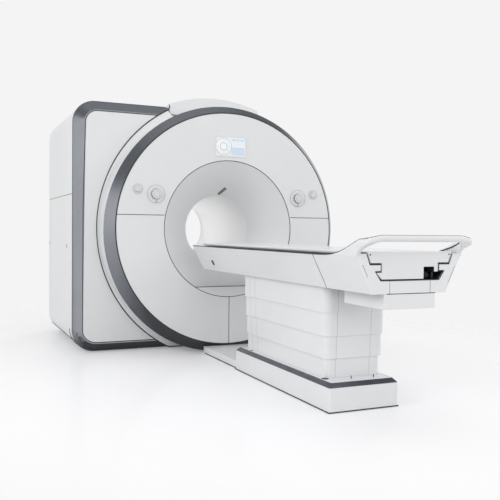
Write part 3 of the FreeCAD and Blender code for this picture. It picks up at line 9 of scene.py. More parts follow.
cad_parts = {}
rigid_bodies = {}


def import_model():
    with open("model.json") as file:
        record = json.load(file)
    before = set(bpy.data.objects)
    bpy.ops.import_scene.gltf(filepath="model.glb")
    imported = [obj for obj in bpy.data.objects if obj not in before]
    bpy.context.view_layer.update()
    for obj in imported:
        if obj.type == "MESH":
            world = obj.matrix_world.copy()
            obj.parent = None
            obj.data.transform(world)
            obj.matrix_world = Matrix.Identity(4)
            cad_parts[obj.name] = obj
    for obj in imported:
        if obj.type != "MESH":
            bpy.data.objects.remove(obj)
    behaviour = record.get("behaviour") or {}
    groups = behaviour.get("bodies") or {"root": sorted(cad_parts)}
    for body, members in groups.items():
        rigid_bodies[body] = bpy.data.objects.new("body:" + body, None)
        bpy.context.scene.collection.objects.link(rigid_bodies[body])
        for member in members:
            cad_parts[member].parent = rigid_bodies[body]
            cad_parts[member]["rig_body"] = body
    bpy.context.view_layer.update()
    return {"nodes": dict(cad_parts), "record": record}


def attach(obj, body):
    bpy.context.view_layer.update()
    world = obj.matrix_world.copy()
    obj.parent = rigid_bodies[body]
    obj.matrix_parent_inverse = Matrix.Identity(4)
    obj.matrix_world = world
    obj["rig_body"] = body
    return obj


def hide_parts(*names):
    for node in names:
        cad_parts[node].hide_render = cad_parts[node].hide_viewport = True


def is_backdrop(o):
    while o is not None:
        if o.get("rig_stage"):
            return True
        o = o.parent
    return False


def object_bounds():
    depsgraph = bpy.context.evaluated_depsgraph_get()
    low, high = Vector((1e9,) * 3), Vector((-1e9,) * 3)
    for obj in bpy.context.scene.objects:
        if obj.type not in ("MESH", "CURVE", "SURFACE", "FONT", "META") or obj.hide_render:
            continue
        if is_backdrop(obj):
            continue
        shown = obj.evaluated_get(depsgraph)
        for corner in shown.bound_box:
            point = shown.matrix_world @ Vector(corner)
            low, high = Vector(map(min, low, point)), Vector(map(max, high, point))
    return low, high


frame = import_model()
NODES = frame["nodes"]
RECORD = frame["record"]
HANDS = ((-1, "left"), (1, "right"))

# ---- sizes shared with the solids, in metres; the bore runs along Y ----
BORE_Z = 1.077  # height of the bore's axis
FACE_Y = -0.94  # plane of the front covers
MOUTH_R = 0.593  # flared opening of the funnel
FACE_R = 1.003  # round front, up to the accent ring
FACE_FOOT_Z = 0.076  # lowest seam point of the round front
DRUM_R = 1.072
HOUSE_Y = -0.562  # front of the rear housing
HOUSE_REAR_SEAM_Y = 0.879  # where its side covers meet the rear cover
HOUSE_LEFT, HOUSE_RIGHT = 1.275, 1.089  # its reach from the bore's axis
HOUSE_Z0, HOUSE_TOP_Z = 0.004, 2.166
HOUSE_CORNER = 0.19
BAND_Y = -0.499  # rear edge of the housing's sloped band
BAND_WALL = 0.0121  # level land between the band's slope and the panel
PANEL_LEFT = 1.184  # housing's front panel
PANEL_Z0, PANEL_Z1 = 0.082, 2.09
PANEL_CORNER = 0.11
SIDE_SEAM_Z = 1.367
FACE_SEAM_Z = 1.186
SILL_Z = 0.575
SILL_HALF_W = 0.314
TURRET_HALF_W = 0.432
TURRET_FRONT_Y = -0.556
DIAL, STOP = (0.66595, 1.36106), (0.8223, 1.3992)  # centres (x, z) of the right ones
HEAD_END_Y = -0.948  # table: its ends, and the seam before the foot-end cover
END_SEAM_Y = -3.023
FOOT_END_Y = -3.487
LOOP_Y = -3.592
BODY_BOT_Z, BODY_TOP_Z = 0.731, 0.932
BOT_HALF_W, TOP_HALF_W = 0.242, 0.343
BASE_TOP_Z = 0.1725
BASE_HALF_W = 0.2424
BASE_HEAD_Y, BASE_FOOT_Y = -1.668, -3.0674


# ---- mesh tools ----
BEAD_R = {  # radius of each kind of bead, by the start of its name
    "mouth_joint": 0.0033, "ring_joint": 0.0056, "drum_joint": 0.0056,
    "drum_joint_right": 0.006, "turret_joint": 0.0042, "face_joint": 0.0033,
    "sill_joint": 0.003, "side_joint": 0.003, "band_joint_front": 0.0038,
    "band_joint_side": 0.0034, "side_foot_curve": 0.0046, "side_foot_line": 0.0044,
    "rim_line": 0.0034, "rim_inner_line": 0.0036, "side_cover_joint": 0.0026,
    "end_panel_joint": 0.0017, "loop_line": 0.0015, "end_groove": 0.0018, "slot_edge": 0.002,
    "slot_ledge": 0.0034, "slot_foot": 0.0034, "shell": 0.0016, "base_pin": 0.0028,
    "base_floor_line": 0.0038, "duct_floor_line": 0.0038, "end_box_joint": 0.0022,
}
GLASS_Y = -0.942
SELECTOR_R = 0.0722  # round selector on the display
HOOPS = {  # inner and outer radius, plane and thickness of each kind of ring
    "dial_cap_line": (0.0255, 0.027, -0.9665, 0.0006),
    "dial_surround_line": (0.0735, 0.0758, -0.9448, 0.0007),
    "stop_surround_line": (0.0368, 0.0396, -0.9455, 0.001),
    "stop_gap_line": (0.025, 0.0268, -0.9457, 0.001),
    "display_dial_edge": (SELECTOR_R, 0.0752, GLASS_Y + 0.0001, 0.0005),
    "display_dial_hub": (0.03, 0.0345, GLASS_Y - 0.0003, 0.0005),
}
EDGE_CREASE = 32.0  # degrees from which a solid's edge is rounded
MERGE_ANGLE = 0.4  # degrees up to which flat neighbours become one face, apart from these
UNMERGED = ("tabletop_board", "tabletop_carriage", "base_plinth")
BEVEL = dict(limit_method="WEIGHT", segments=3, use_clamp_overlap=True, harden_normals=True,
             miter_outer="MITER_ARC")
BEAD_SIDES = 3  # steps in a quarter of a bead's section
BEAD_CREASE = 50.0
HOOP_EDGE = 0.0005


def held(share):
    """A share kept between 0 and 1."""
    return min(1.0, max(0.0, share))


def eased(share):
    """A share from 0 to 1 that starts and ends gently."""
    t = held(share)
    return t * t * (3 - 2 * t)


def on_circle(angle, radius, x=0.0, z=BORE_Z):
    """Point (x, z) of a circle across Y; 0 degrees is at the right and 90 at the top."""
    turn = radians(angle)
    return x + radius * cos(turn), z + radius * sin(turn)


def at_y(y, points):
    """Points (x, z) in the plane at y."""
    return [(x, y, z) for x, z in points]


def placed(name, data):
    """Makes an object of a mesh, a curve, a lamp or a camera."""
    obj = bpy.data.objects.new(name, data)
    bpy.context.scene.collection.objects.link(obj)
    return obj


def put(name, mesh, body, slot, finish=None, crease=None):
    """Makes an object of a mesh or of a working mesh, riding on a CAD body and with a finish."""
    if isinstance(mesh, bmesh.types.BMesh):
        mesh = mesh_of(mesh, name, crease)
    obj = placed(name, mesh)
    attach(obj, body)
    obj.data.materials.clear()
    obj.data.materials.append(FINISH[finish or slot])
    return obj


def smooth(mesh, crease):
    """Shades a mesh smoothly, apart from edges sharper than crease degrees."""
    for face in mesh.polygons:
        face.use_smooth = True
    mesh.set_sharp_from_angle(angle=radians(crease))


def skin(work, rows, caps=True):
    """Faces between neighbouring rings of vertices, and over the first and the last ring."""
    for low, high in zip(rows, rows[1:]):
        for i in range(len(low)):
            j = (i + 1) % len(low)
            corners = []
            for vert in (low[i], low[j], high[j], high[i]):
                if vert not in corners:
                    corners.append(vert)
            if len(corners) > 2:
                work.faces.new(corners)
    if caps:
        work.faces.new(rows[0])
        work.faces.new(rows[-1])


def mesh_of(work, name, crease):
    """Turns a working mesh's faces outwards and makes it a mesh, smooth if crease is given."""
    bmesh.ops.recalc_face_normals(work, faces=work.faces)
    mesh = bpy.data.meshes.new(name)
    work.to_mesh(mesh)
    work.free()
    if crease is not None:
        smooth(mesh, crease)
    return mesh


def evaluated(obj):
    """A new mesh of an object as its modifiers or its curve's settings shape it."""
    bpy.context.view_layer.update()
    depsgraph = bpy.context.evaluated_depsgraph_get()
    return bpy.data.meshes.new_from_object(obj.evaluated_get(depsgraph))


def round_edges(obj, width):
    """Rounds the edges that carry a bevel weight and smooths the shading between them."""
    bevel = obj.modifiers.new("edge_rounding", "BEVEL")
    bevel.width = width
    for key, value in BEVEL.items():
        setattr(bevel, key, value)
    mesh = evaluated(obj)
    obj.modifiers.clear()
    obj.data = mesh


def soften(node, width, trim):
    """A copy of a CAD node's mesh, with rounded edges and reshaped by trim, stands for it."""
    source = NODES[node]
    mesh = bpy.data.meshes.new(node + "_skin")
    work = bmesh.new()
    work.from_mesh(source.data)
    bmesh.ops.remove_doubles(work, verts=work.verts, dist=2e-5)
    if node not in UNMERGED:
        bmesh.ops.dissolve_limit(work, angle_limit=radians(MERGE_ANGLE), verts=work.verts,
                                 edges=work.edges, use_dissolve_boundaries=False)
    if trim:
        trim(work)
    weight = work.edges.layers.float.new("bevel_weight_edge")
    limit = radians(EDGE_CREASE)
    for edge in work.edges:
        edge[weight] = float(len(edge.link_faces) == 2 and edge.calc_face_angle(0.0) > limit)
        edge.smooth = True
    for face in work.faces:
        face.smooth = True
    work.to_mesh(mesh)
    work.free()
    if "custom_normal" in mesh.attributes:
        mesh.attributes.remove(mesh.attributes["custom_normal"])
    obj = put(node + "_skin", mesh, source["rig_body"], SLOT_OF[node])
    round_edges(obj, width)
    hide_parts(node)


def size_of(name, sizes):
    """The sizes for the kind of piece that a name starts with."""
    return sizes[max((kind for kind in sizes if name.startswith(kind)), key=len)]


def bead(name, points, finish="gasket_and_shade_black", body="scanner", slot="trim_dark", closed=False,
         taper=0.0, tip=1.0):
    """A round bead along points, for a joint, a groove, a thin rod or a line of painted shadow.

    taper is the share of its points over which its far end thins out, down to tip.
    """
    curve = bpy.data.curves.new(name, "CURVE")
    curve.dimensions = "3D"
    curve.bevel_depth = size_of(name, BEAD_R)
    curve.bevel_resolution = BEAD_SIDES
    curve.use_fill_caps = not closed
    spline = curve.splines.new("POLY")
    last = len(points) - 1
    spline.points.add(last)
    for i, (target, point) in enumerate(zip(spline.points, points)):
        target.co = (*point, 1.0)
        if taper and i > last * (1.0 - taper):
            target.radius = tip + (1.0 - tip) * (last - i) / (last * taper)
    spline.use_cyclic_u = closed
    rail = placed(name + "_rail", curve)
    mesh = evaluated(rail)
    bpy.data.objects.remove(rail)
    mesh.name = name
    smooth(mesh, BEAD_CREASE)
    put(name, mesh, body, slot, finish)


def circle(radius, y, start=0.0, end=360.0, step=1.5):
    """Points of an arc round the bore's axis, without its last point where it closes."""
    full = abs(end - start) >= 360.0
    count = max(2, int(round(abs(end - start) / step)))
    return at_y(y, [on_circle(start + (end - start) * i / count, radius)
                    for i in range(count if full else count + 1)])


def lathe(name, profile, centre, slot, finish=None, body="scanner", steps=64, crease=30.0,
          wave=None):
    """Turns a profile of (radius, y) round an axis along Y through centre (x, z).

    wave(angle) gives a share to scale the radius by, for flutes.
    """
    work = bmesh.new()
    rows = []
    for radius, y in profile:
        if radius <= 0.0:
            rows.append([work.verts.new((centre[0], y, centre[1]))] * steps)
            continue
        ring = []
        for i in range(steps):
            angle = 2 * pi * i / steps
            r = radius * (wave(angle) if wave else 1.0)
            ring.append(work.verts.new((centre[0] + r * cos(angle), y,
                                        centre[1] + r * sin(angle))))
        rows.append(ring)
    skin(work, rows, caps=False)
    put(name, work, body, slot, finish, crease)


def hoop(name, centre, slot, finish, body="scanner"):
    """A flat ring with softened edges, standing proud of a plane y."""
    inner, outer, y, thickness = size_of(name, HOOPS)
    edge = min(HOOP_EDGE, thickness / 2, (outer - inner) / 4)
    profile = [(inner, y), (inner, y - thickness + edge), (inner + edge, y - thickness),
               (outer - edge, y - thickness), (outer, y - thickness + edge), (outer, y)]
    lathe(name, profile, centre, slot, finish, body, 72, 40.0)


def screen_tile(name, outline, y, thickness, finish, edge):
    """A thin plate with softened edges on the display, standing proud of a plane y."""
    work = bmesh.new()
    back = [work.verts.new(point) for point in at_y(y, outline)]
    rim = [work.verts.new(point) for point in at_y(y - thickness + edge, outline)]
    cx = sum(x for x, _ in outline) / len(outline)
    cz = sum(z for _, z in outline) / len(outline)
    top = []
    for x, z in outline:
        reach = hypot(x - cx, z - cz) or 1.0
        k = (reach - edge) / reach
        top.append(work.verts.new((cx + (x - cx) * k, y - thickness, cz + (z - cz) * k)))
    skin(work, (back, rim, top))
    put(name, work, "scanner", "screen_glass", finish)


def oblong(half_w, half_h, corner, x=0.0, z=0.0, steps=8):
    """Outline of a rectangle with round corners."""
    wide, high = half_w - corner, half_h - corner
    points = []
    for start, cx, cz in ((0, wide, high), (90, -wide, high), (180, -wide, -high),
                          (270, wide, -high)):
        points += [on_circle(start + 90.0 * i / steps, corner, x + cx, z + cz)
                   for i in range(steps + 1)]
    return points


# ---- finishes ----
COAT_ROUGHNESS = 0.12
BUMP_STRENGTH = 0.25
NOISE_LOW, NOISE_HIGH = 0.3, 0.7  # where a noise's values mostly lie
GLOSS_SCALE, GLOSS_DETAIL = 14.0, 3.0
PEEL_DETAIL = 2.0
TONE_DETAIL = 5.0
GRIME_SCALE, GRIME_DETAIL = 9.0, 6.0
GRIME_HEIGHT = 0.35  # up to which dust and floor scuffs gather
GRIME_TONE = 0.55
SHADE_PAINT_FROM = 0.02  # height part of a normal at which painted shade on faces turning down starts,
SHADE_PAINT_FULL = -0.52  # and at which that painted shade is darkest


def fill_in(node, values):
    """Sets the own values of a shader node's sockets."""
    for socket, value in values.items():
        node.inputs[socket].default_value = value


def add(tree, kind, values=None, **settings):
    """A shader node with its settings and its sockets' own values."""
    node = tree.nodes.new(kind)
    for key, value in settings.items():
        setattr(node, key, value)
    fill_in(node, values or {})
    return node


def noise(tree, vector, scale, detail):
    """Values of a noise texture at a vector."""
    node = add(tree, "ShaderNodeTexNoise", {"Scale": scale, "Detail": detail})
    tree.links.new(vector, node.inputs["Vector"])
    return node.outputs["Fac"]


def ranged(tree, value, start, end, low=0.0, high=1.0, **settings):
    """Maps a value's range from start to end onto low to high."""
    node = add(tree, "ShaderNodeMapRange", {"From Min": start, "From Max": end,
                                            "To Min": low, "To Max": high}, **settings)
    tree.links.new(value, node.inputs["Value"])
    return node.outputs["Result"]


def blend(tree, share, first, second):
    """Mixes two colours, each given as numbers or as another node's output."""
    node = add(tree, "ShaderNodeMix", data_type="RGBA")
    tree.links.new(share, node.inputs["Factor"])
    for socket, colour in (("A", first), ("B", second)):
        if isinstance(colour, (tuple, list)):
            node.inputs[socket].default_value = (*colour, 1.0)
        else:
            tree.links.new(colour, node.inputs[socket])
    return node.outputs["Result"]


def worked_out(tree, operation, first, second):
    """A sum, product or choice of a node's output and another output or number."""
    node = add(tree, "ShaderNodeMath", operation=operation)
    tree.links.new(first, node.inputs[0])
    if isinstance(second, float):
        node.inputs[1].default_value = second
    else:
        tree.links.new(second, node.inputs[1])
    return node.outputs["Value"]


def mixed(tree, share, first, second):
    """Mixes two shaders."""
    node = add(tree, "ShaderNodeMixShader")
    for socket, value in enumerate((share, first, second)):
        tree.links.new(value, node.inputs[socket])
    return node.outputs["Shader"]


def seen_rays(tree):
    """1 for rays that show a surface: camera, glossy and transmitted ones. Else 0."""
    path = add(tree, "ShaderNodeLightPath")
    either = worked_out(tree, "MAXIMUM", path.outputs["Is Camera Ray"],
                        path.outputs["Is Glossy Ray"])
    return worked_out(tree, "MAXIMUM", either, path.outputs["Is Transmission Ray"])


def finish_of(name, color, rough, metal=0.0, coat=0.0, cloud=0.02, cloud_scale=1.6,
              peel=260.0, peel_depth=0.00003, rough_spread=0.05, grime=0.05, brushed=None,
              under=None):
    """A coated, moulded or metal surface: drifting tone, fine texture, uneven gloss, grime.

    cloud is the tone's drift, peel the fine texture's scale, brushed the stretch of its grain,
    and under the colour of painted shade on faces that turn down, darkest where they face
    straight down.
    """
    mat = bpy.data.materials.new(name)
    mat.use_nodes = True
    tree = mat.node_tree
    link = tree.links.new
    shader = tree.nodes["Principled BSDF"]
    fill_in(shader, {"Metallic": metal, "Coat Weight": coat, "Coat Roughness": COAT_ROUGHNESS})
    place = add(tree, "ShaderNodeTexCoord")
    even = grain = place.outputs["Object"]
    if brushed:
        stretch = add(tree, "ShaderNodeMapping", {"Scale": brushed})
        link(even, stretch.inputs["Vector"])
        grain = stretch.outputs["Vector"]

    def uneven(vector, scale, detail, low=0.0, high=1.0):
        return ranged(tree, noise(tree, vector, scale, detail), NOISE_LOW, NOISE_HIGH, low, high)

    painted = blend(tree, uneven(even, cloud_scale, TONE_DETAIL),
                    [c * (1.0 - cloud) for c in color],
                    [min(1.0, c * (1.0 + cloud)) for c in color])
    where = add(tree, "ShaderNodeSeparateXYZ")
    link(even, where.inputs["Vector"])
    low_down = ranged(tree, where.outputs["Z"], 0.0, GRIME_HEIGHT, 1.0, 0.0)
    dust = uneven(even, GRIME_SCALE, GRIME_DETAIL, 0.0, grime)
    painted = blend(tree, worked_out(tree, "MULTIPLY", low_down, dust), painted,
                    [c * GRIME_TONE for c in color])
    # painted shade: faces that turn down are darkened towards the under colour
    if under is not None:
        facing = add(tree, "ShaderNodeSeparateXYZ")
        link(place.outputs["Normal"], facing.inputs["Vector"])
        share = ranged(tree, facing.outputs["Z"], SHADE_PAINT_FULL, SHADE_PAINT_FROM, 1.0, 0.0)
        painted = blend(tree, share, painted, under)
    link(painted, shader.inputs["Base Color"])
    link(uneven(grain, GLOSS_SCALE, GLOSS_DETAIL, max(0.02, rough - rough_spread),
                rough + rough_spread), shader.inputs["Roughness"])
    bump = add(tree, "ShaderNodeBump", {"Strength": BUMP_STRENGTH, "Distance": peel_depth})
    link(noise(tree, grain, peel, PEEL_DETAIL), bump.inputs["Height"])
    link(bump.outputs["Normal"], shader.inputs["Normal"])
    return mat


def glow_of(name, color, rough, strength):
    """A lit display surface: its own light over a glossy pane."""
    mat = finish_of(name, color, rough, coat=0.6, cloud=0.015, cloud_scale=14.0)
    fill_in(mat.node_tree.nodes["Principled BSDF"],
            {"Emission Color": (*color, 1.0), "Emission Strength": strength})
    return mat


LOOKS = {  # colour, roughness and what else sets a finish apart
    "cover_white": ((0.735, 0.742, 0.75), 0.35, dict(coat=0.35)),
    # accent_grey's under colour is painted shade on its downward faces
    "accent_grey": ((0.335, 0.355, 0.386), 0.24, dict(metal=0.88, cloud=0.05, cloud_scale=2.5,
        rough_spread=0.03, under=(0.065, 0.067, 0.073))),
    "bore_white": ((0.8, 0.805, 0.8), 0.36, dict(coat=0.2)),
    "window_dark": ((0.035, 0.033, 0.036), 0.12, dict(coat=0.5, grime=0.0)),
    "bezel_grey": ((0.74, 0.75, 0.76), 0.36, dict(grime=0.0)),
    "knob_plastic": ((0.66, 0.68, 0.7), 0.38, dict(grime=0.0)),
    "vessel_steel": ((0.55, 0.56, 0.58), 0.38, dict(metal=0.9, brushed=(1.0, 30.0, 1.0),
        peel=60.0)),
    "coil_copper": ((0.52, 0.22, 0.1), 0.36, dict(metal=0.85, cloud=0.08, peel=30.0,
        brushed=(1.0, 120.0, 1.0))),
    "coil_resin": ((0.19, 0.16, 0.08), 0.5, dict(cloud=0.12, cloud_scale=9.0)),
    "machine_steel": ((0.15, 0.16, 0.175), 0.5, dict(cloud=0.06, cloud_scale=7.0, peel=420.0,
        peel_depth=0.0001)),
    "table_white": ((0.8, 0.81, 0.82), 0.35, dict(coat=0.25)),
    "board_white": ((0.79, 0.8, 0.81), 0.35, dict(coat=0.3)),
    "trim_dark": ((0.175, 0.19, 0.212), 0.34, dict(metal=0.8, cloud=0.1, cloud_scale=12.0,
        grime=0.15)),
    # black for gaskets, catches and ports, and for the painted shade in the notch and the painted
    # shadow lines
    "gasket_and_shade_black": ((0.03, 0.031, 0.034), 0.6, dict(cloud=0.2, cloud_scale=25.0, peel=700.0,
        peel_depth=0.0001)),
    "hairline": ((0.22, 0.225, 0.235), 0.6, dict(cloud=0.1, cloud_scale=25.0)),
    "sheet_metal": ((0.055, 0.056, 0.06), 0.42, dict(metal=0.5, brushed=(60.0, 1.0, 60.0),
        peel=8.0)),
    "catch_black": ((0.02, 0.02, 0.022), 0.4, dict(cloud=0.2, cloud_scale=30.0)),
    "drive_metal": ((0.05, 0.05, 0.053), 0.38, dict(metal=0.9, cloud=0.05, cloud_scale=20.0)),
    "belt_rubber": ((0.02, 0.02, 0.02), 0.7, dict(cloud=0.2, cloud_scale=20.0, peel=900.0,
        peel_depth=0.0002)),
    "grip": ((0.085, 0.088, 0.095), 0.5, dict(cloud=0.15, cloud_scale=40.0, grime=0.0)),
    "lens": ((0.5, 0.53, 0.55), 0.18, dict(coat=0.6, grime=0.0)),
    "pane": ((0.26, 0.255, 0.25), 0.1, dict(coat=0.8, grime=0.0)),
}
GLOWS = {  # colour, roughness and strength of its own light
    "screen_glass": ((0.7, 0.76, 0.8), 0.12, 0.15),
    "display_light": ((0.8, 0.82, 0.83), 0.14, 0.12),
    "display_line": ((0.36, 0.39, 0.42), 0.2, 0.0),
    "display_blue": ((0.56, 0.66, 0.75), 0.14, 0.1),
}
FINISH = {name: finish_of(name, color, rough, **more)
          for name, (color, rough, more) in LOOKS.items()}
FINISH.update({name: glow_of(name, *look) for name, look in GLOWS.items()})

SLOT_OF = {}
for row in RECORD["subparts"]:
    SLOT_OF[row["node"]] = row["material_slot"]
    node = NODES[row["node"]]
    node.data.materials.clear()
    node.data.materials.append(FINISH[row["material_slot"]])


# ---- the foot-end cover's rim and grab loop ----
RIM_SWEEP = ((-3.12, 0.9322), (-3.16, 0.933), (-3.2, 0.935), (-3.255, 0.941),
             (-3.312, 0.954), (-3.371, 0.9735), (-3.43, 0.996), (-3.481, 1.015),
             (-3.52, 1.028), (-3.555, 1.038), (-3.58, 1.044), (LOOP_Y, 1.0465))
LOOP_INNER_R = 0.075
LOOP_OUTER_R = 0.032
BAR_H = 0.028
BAR_DEPTH = 0.028
RIM_W = 0.025
RIM_JOIN_Z = 0.9319  # where the rim stands on the cover
UNDER_Z = 0.945  # underside of the sweep at the end face,
UNDER_HOLLOW = 0.034  # and how deep it curves in on its way to the crossbar
INNER_Y = LOOP_Y + BAR_DEPTH
TURN_X = TOP_HALF_W - RIM_W - LOOP_INNER_R
TURN_Y = INNER_Y + LOOP_INNER_R
CORNER_X = 0.245  # where the loop's soft outer corner starts, from the middle
CORNER_Y = -3.5
CORNER_RUN = 0.07
CORNER_SWELL = 0.004  # how much higher the section is at the corner,
CORNER_DROP = 0.012  # and how far its top and its underside come down
CORNER_DIP = 0.016
STATION_STEP = 0.012
TURN_STATIONS, TURN_STEP = 19, 5.0
BAR_STATIONS = (0.2, 0.15, 0.1, 0.05, 0.0)
ARC_POINTS, ARC_STEP = 7, 15.0
OUTER_TOP_R, OUTER_TOP_SWELL = 0.013, 0.012
INNER_TOP_R = 0.011
INNER_LOW_R, OUTER_LOW_R = 0.008, 0.01
SEATED_R = 0.0005  # low edges where the rim stands on the cover
CUT_X = 0.3181  # inner side of the cover's own raised rim
CUT_MARGIN = 0.0001


def rim_top(y):
    """Height of the rim where it sweeps up to the loop, on a smooth curve through its points."""
    knots = RIM_SWEEP
    if y >= knots[0][0]:
        return knots[0][1]
    for i in range(len(knots) - 1):
        if knots[i + 1][0] <= y <= knots[i][0]:
            y0, z0 = knots[i]
            y1, z1 = knots[i + 1]
            before = knots[max(0, i - 1)]
            after = knots[min(len(knots) - 1, i + 2)]
            slope0 = (z1 - before[1]) / (y1 - before[0])
            slope1 = (after[1] - z0) / (after[0] - y0)
            run = y1 - y0
            t = (y - y0) / run
            return ((2 * t ** 3 - 3 * t ** 2 + 1) * z0 + (t ** 3 - 2 * t ** 2 + t) * run * slope0
                    + (3 * t ** 2 - 2 * t ** 3) * z1 + (t ** 3 - t ** 2) * run * slope1)
    return knots[-1][1]


def rim_bottom(y):
    """Underside of the rim: on the body, then leaning out below the loop's crossbar."""
    if y > FOOT_END_Y:
        return RIM_JOIN_Z
    share = (FOOT_END_Y - y) / (FOOT_END_Y - LOOP_Y)
    high = RIM_SWEEP[-1][1] - BAR_H
    return UNDER_Z + (high - UNDER_Z) * share + UNDER_HOLLOW * share * (1.0 - share)


def corner_share(x, y):
    """How far a plan point is into the loop's outer corner, from 0 to 1."""
    return (eased((abs(x) - CORNER_X) / (TOP_HALF_W - CORNER_X))
            * eased((CORNER_Y - y) / CORNER_RUN))


def inside_loop(x, y):
    """Whether a plan point lies within the loop's outer outline."""
    past_x = x - (TOP_HALF_W - LOOP_OUTER_R)
    past_y = (LOOP_Y + LOOP_OUTER_R) - y
    if past_x > 0.0 and past_y > 0.0:
        return hypot(past_x, past_y) < LOOP_OUTER_R
    return x < TOP_HALF_W and y > LOOP_Y


def loop_stations():
    """Pairs of outer and inner points in plan, from the right cheek's start to the middle."""
    pairs = []
    y = RIM_SWEEP[0][0]
    while y > TURN_Y:
        pairs.append(((TOP_HALF_W, y), (TOP_HALF_W - RIM_W, y)))
        y -= STATION_STEP
        if y < FOOT_END_Y + 0.0005 < y + STATION_STEP:
            start = FOOT_END_Y + 0.0002
            pairs.append(((TOP_HALF_W, start), (TOP_HALF_W - RIM_W, start)))
    for i in range(TURN_STATIONS):
        angle = radians(TURN_STEP * i)
        dx, dy = cos(angle), -sin(angle)
        low, high = LOOP_INNER_R, 0.2
        for _ in range(30):
            reach = (low + high) / 2
            if inside_loop(TURN_X + dx * reach, TURN_Y + dy * reach):
                low = reach
            else:
                high = reach
        pairs.append(((TURN_X + dx * low, TURN_Y + dy * low),
                      (TURN_X + dx * LOOP_INNER_R, TURN_Y + dy * LOOP_INNER_R)))
    return pairs + [((x, LOOP_Y), (x, INNER_Y)) for x in BAR_STATIONS]


def loop_section(outer, inner):
    """Rounded section of the rim or the loop between an outer and an inner plan point."""
    width = hypot(outer[0] - inner[0], outer[1] - inner[1])
    deep = corner_share(*outer)
    height = rim_top(outer[1]) - rim_bottom(outer[1]) + CORNER_SWELL * deep
    free = outer[1] < FOOT_END_Y
    radii = (min(OUTER_TOP_R + OUTER_TOP_SWELL * deep, (0.45 + 0.15 * deep) * height),
             min(INNER_TOP_R, 0.4 * height),
             min(INNER_LOW_R, 0.4 * height) if free else SEATED_R,
             min(OUTER_LOW_R, 0.4 * height) if free else SEATED_R)
    points = []
    for corner, radius in enumerate(radii):
        for i in range(ARC_POINTS):
            turn = radians(ARC_STEP * i)
            a, b = radius * (1 - cos(turn)), radius * (1 - sin(turn))
            across, top, down = {0: (a, True, b), 1: (width - b, True, a),
                                 2: (width - a, False, b), 3: (b, False, a)}[corner]
            share = across / width
            x = outer[0] + (inner[0] - outer[0]) * share
            y = outer[1] + (inner[1] - outer[1]) * share
            deep = corner_share(x, y)
            if top:
                z = rim_top(y) - CORNER_DROP * deep - down
            else:
                z = rim_bottom(y) - CORNER_DIP * deep + down
            points.append((x, y, z))
    return points


def grab_loop():
    """Upswept rim and grab loop as one sweep round the foot end."""
    half = [loop_section(outer, inner) for outer, inner in loop_stations()]
    other = [[(-x, y, z) for x, y, z in ring] for ring in reversed(half[:-1])]
    work = bmesh.new()
    skin(work, [[work.verts.new(point) for point in ring] for ring in half + other])
    put("grab_loop", work, "table", SLOT_OF["foot_cover"], crease=40.0)


def without_loop(work):
    """Takes the loop and the raised rim off the foot cover, down to the rim's level."""
    for place, normal in (((0, 0, RIM_JOIN_Z + 2 * CUT_MARGIN), (0, 0, 1)),
                          ((0, FOOT_END_Y - CUT_MARGIN, 0), (0, 1, 0)),
                          ((CUT_X, 0, 0), (1, 0, 0)), ((-CUT_X, 0, 0), (1, 0, 0))):
        bmesh.ops.bisect_plane(work, geom=work.verts[:] + work.edges[:] + work.faces[:],
                               dist=1e-6, plane_co=place, plane_no=normal)
    gone = []
    for face in work.faces:
        c = face.calc_center_median()
        outside = abs(c.x) > CUT_X - CUT_MARGIN or c.y < FOOT_END_Y - 1.5 * CUT_MARGIN
        if c.z > RIM_JOIN_Z + 3 * CUT_MARGIN and outside:
            gone.append(face)
    bmesh.ops.delete(work, geom=gone, context="FACES")
    open_edges = [e for e in work.edges if len(e.link_faces) == 1]
    bmesh.ops.holes_fill(work, edges=open_edges, sides=0)


# ---- copies of solids moved a little to where the photograph has them ----
BAND_DRAW = 0.028  # how far the band's front edge is drawn out low at the left,
BAND_DRAW_TOP = 0.004  # at the top,
BAND_DROP = 0.011  # and down along its foot
BAND_RISE_Z, BAND_RISE = 1.3, 0.75
BAND_FRONT = 0.03  # depth of the band's front edge and of the panels' front
BAND_INNER_X = -0.3
RING_DRAW = 0.0205  # how far the ring's outer edge stands out at its lower left
RING_UP_FROM, RING_UP = 140.0, 75.0
RING_DOWN_TO, RING_DOWN = 285.0, 45.0
RING_REAR_Y = -0.8
RING_FLOOR = 0.0045  # lowest height of the drawn edge
COLUMN_REACH = 0.045  # how far the column's near end stands out beyond the solids
COLUMN_NEAR_Y = -2.3
COLUMN_WIDE = 1.12  # and its right side, as a share of the width right of its joint
COLUMN_JOINT_X = 0.147


def band_shift(x, z):
    """Moves a point of the band's front edge to where the photograph has it."""
    side = held((PANEL_CORNER - PANEL_LEFT - x) / PANEL_CORNER)
    foot = held((PANEL_Z0 + PANEL_CORNER - z) / PANEL_CORNER)
    rise = held((z - BAND_RISE_Z) / BAND_RISE)
    return x - side * (BAND_DRAW - (BAND_DRAW - BAND_DRAW_TOP) * rise), z - foot * BAND_DROP


def narrow_band(work):
    """Narrows the housing's sloped band, and widens the panel inside it."""
    for vert in work.verts:
        if vert.co.y < HOUSE_Y + BAND_FRONT and vert.co.x < BAND_INNER_X:
            vert.co.x, vert.co.z = band_shift(vert.co.x, vert.co.z)


def ring_draw(angle):
    """Share of RING_DRAW at an angle in degrees round the bore."""
    angle %= 360.0
    return eased((angle - RING_UP_FROM) / RING_UP) * eased((RING_DOWN_TO - angle) / RING_DOWN)


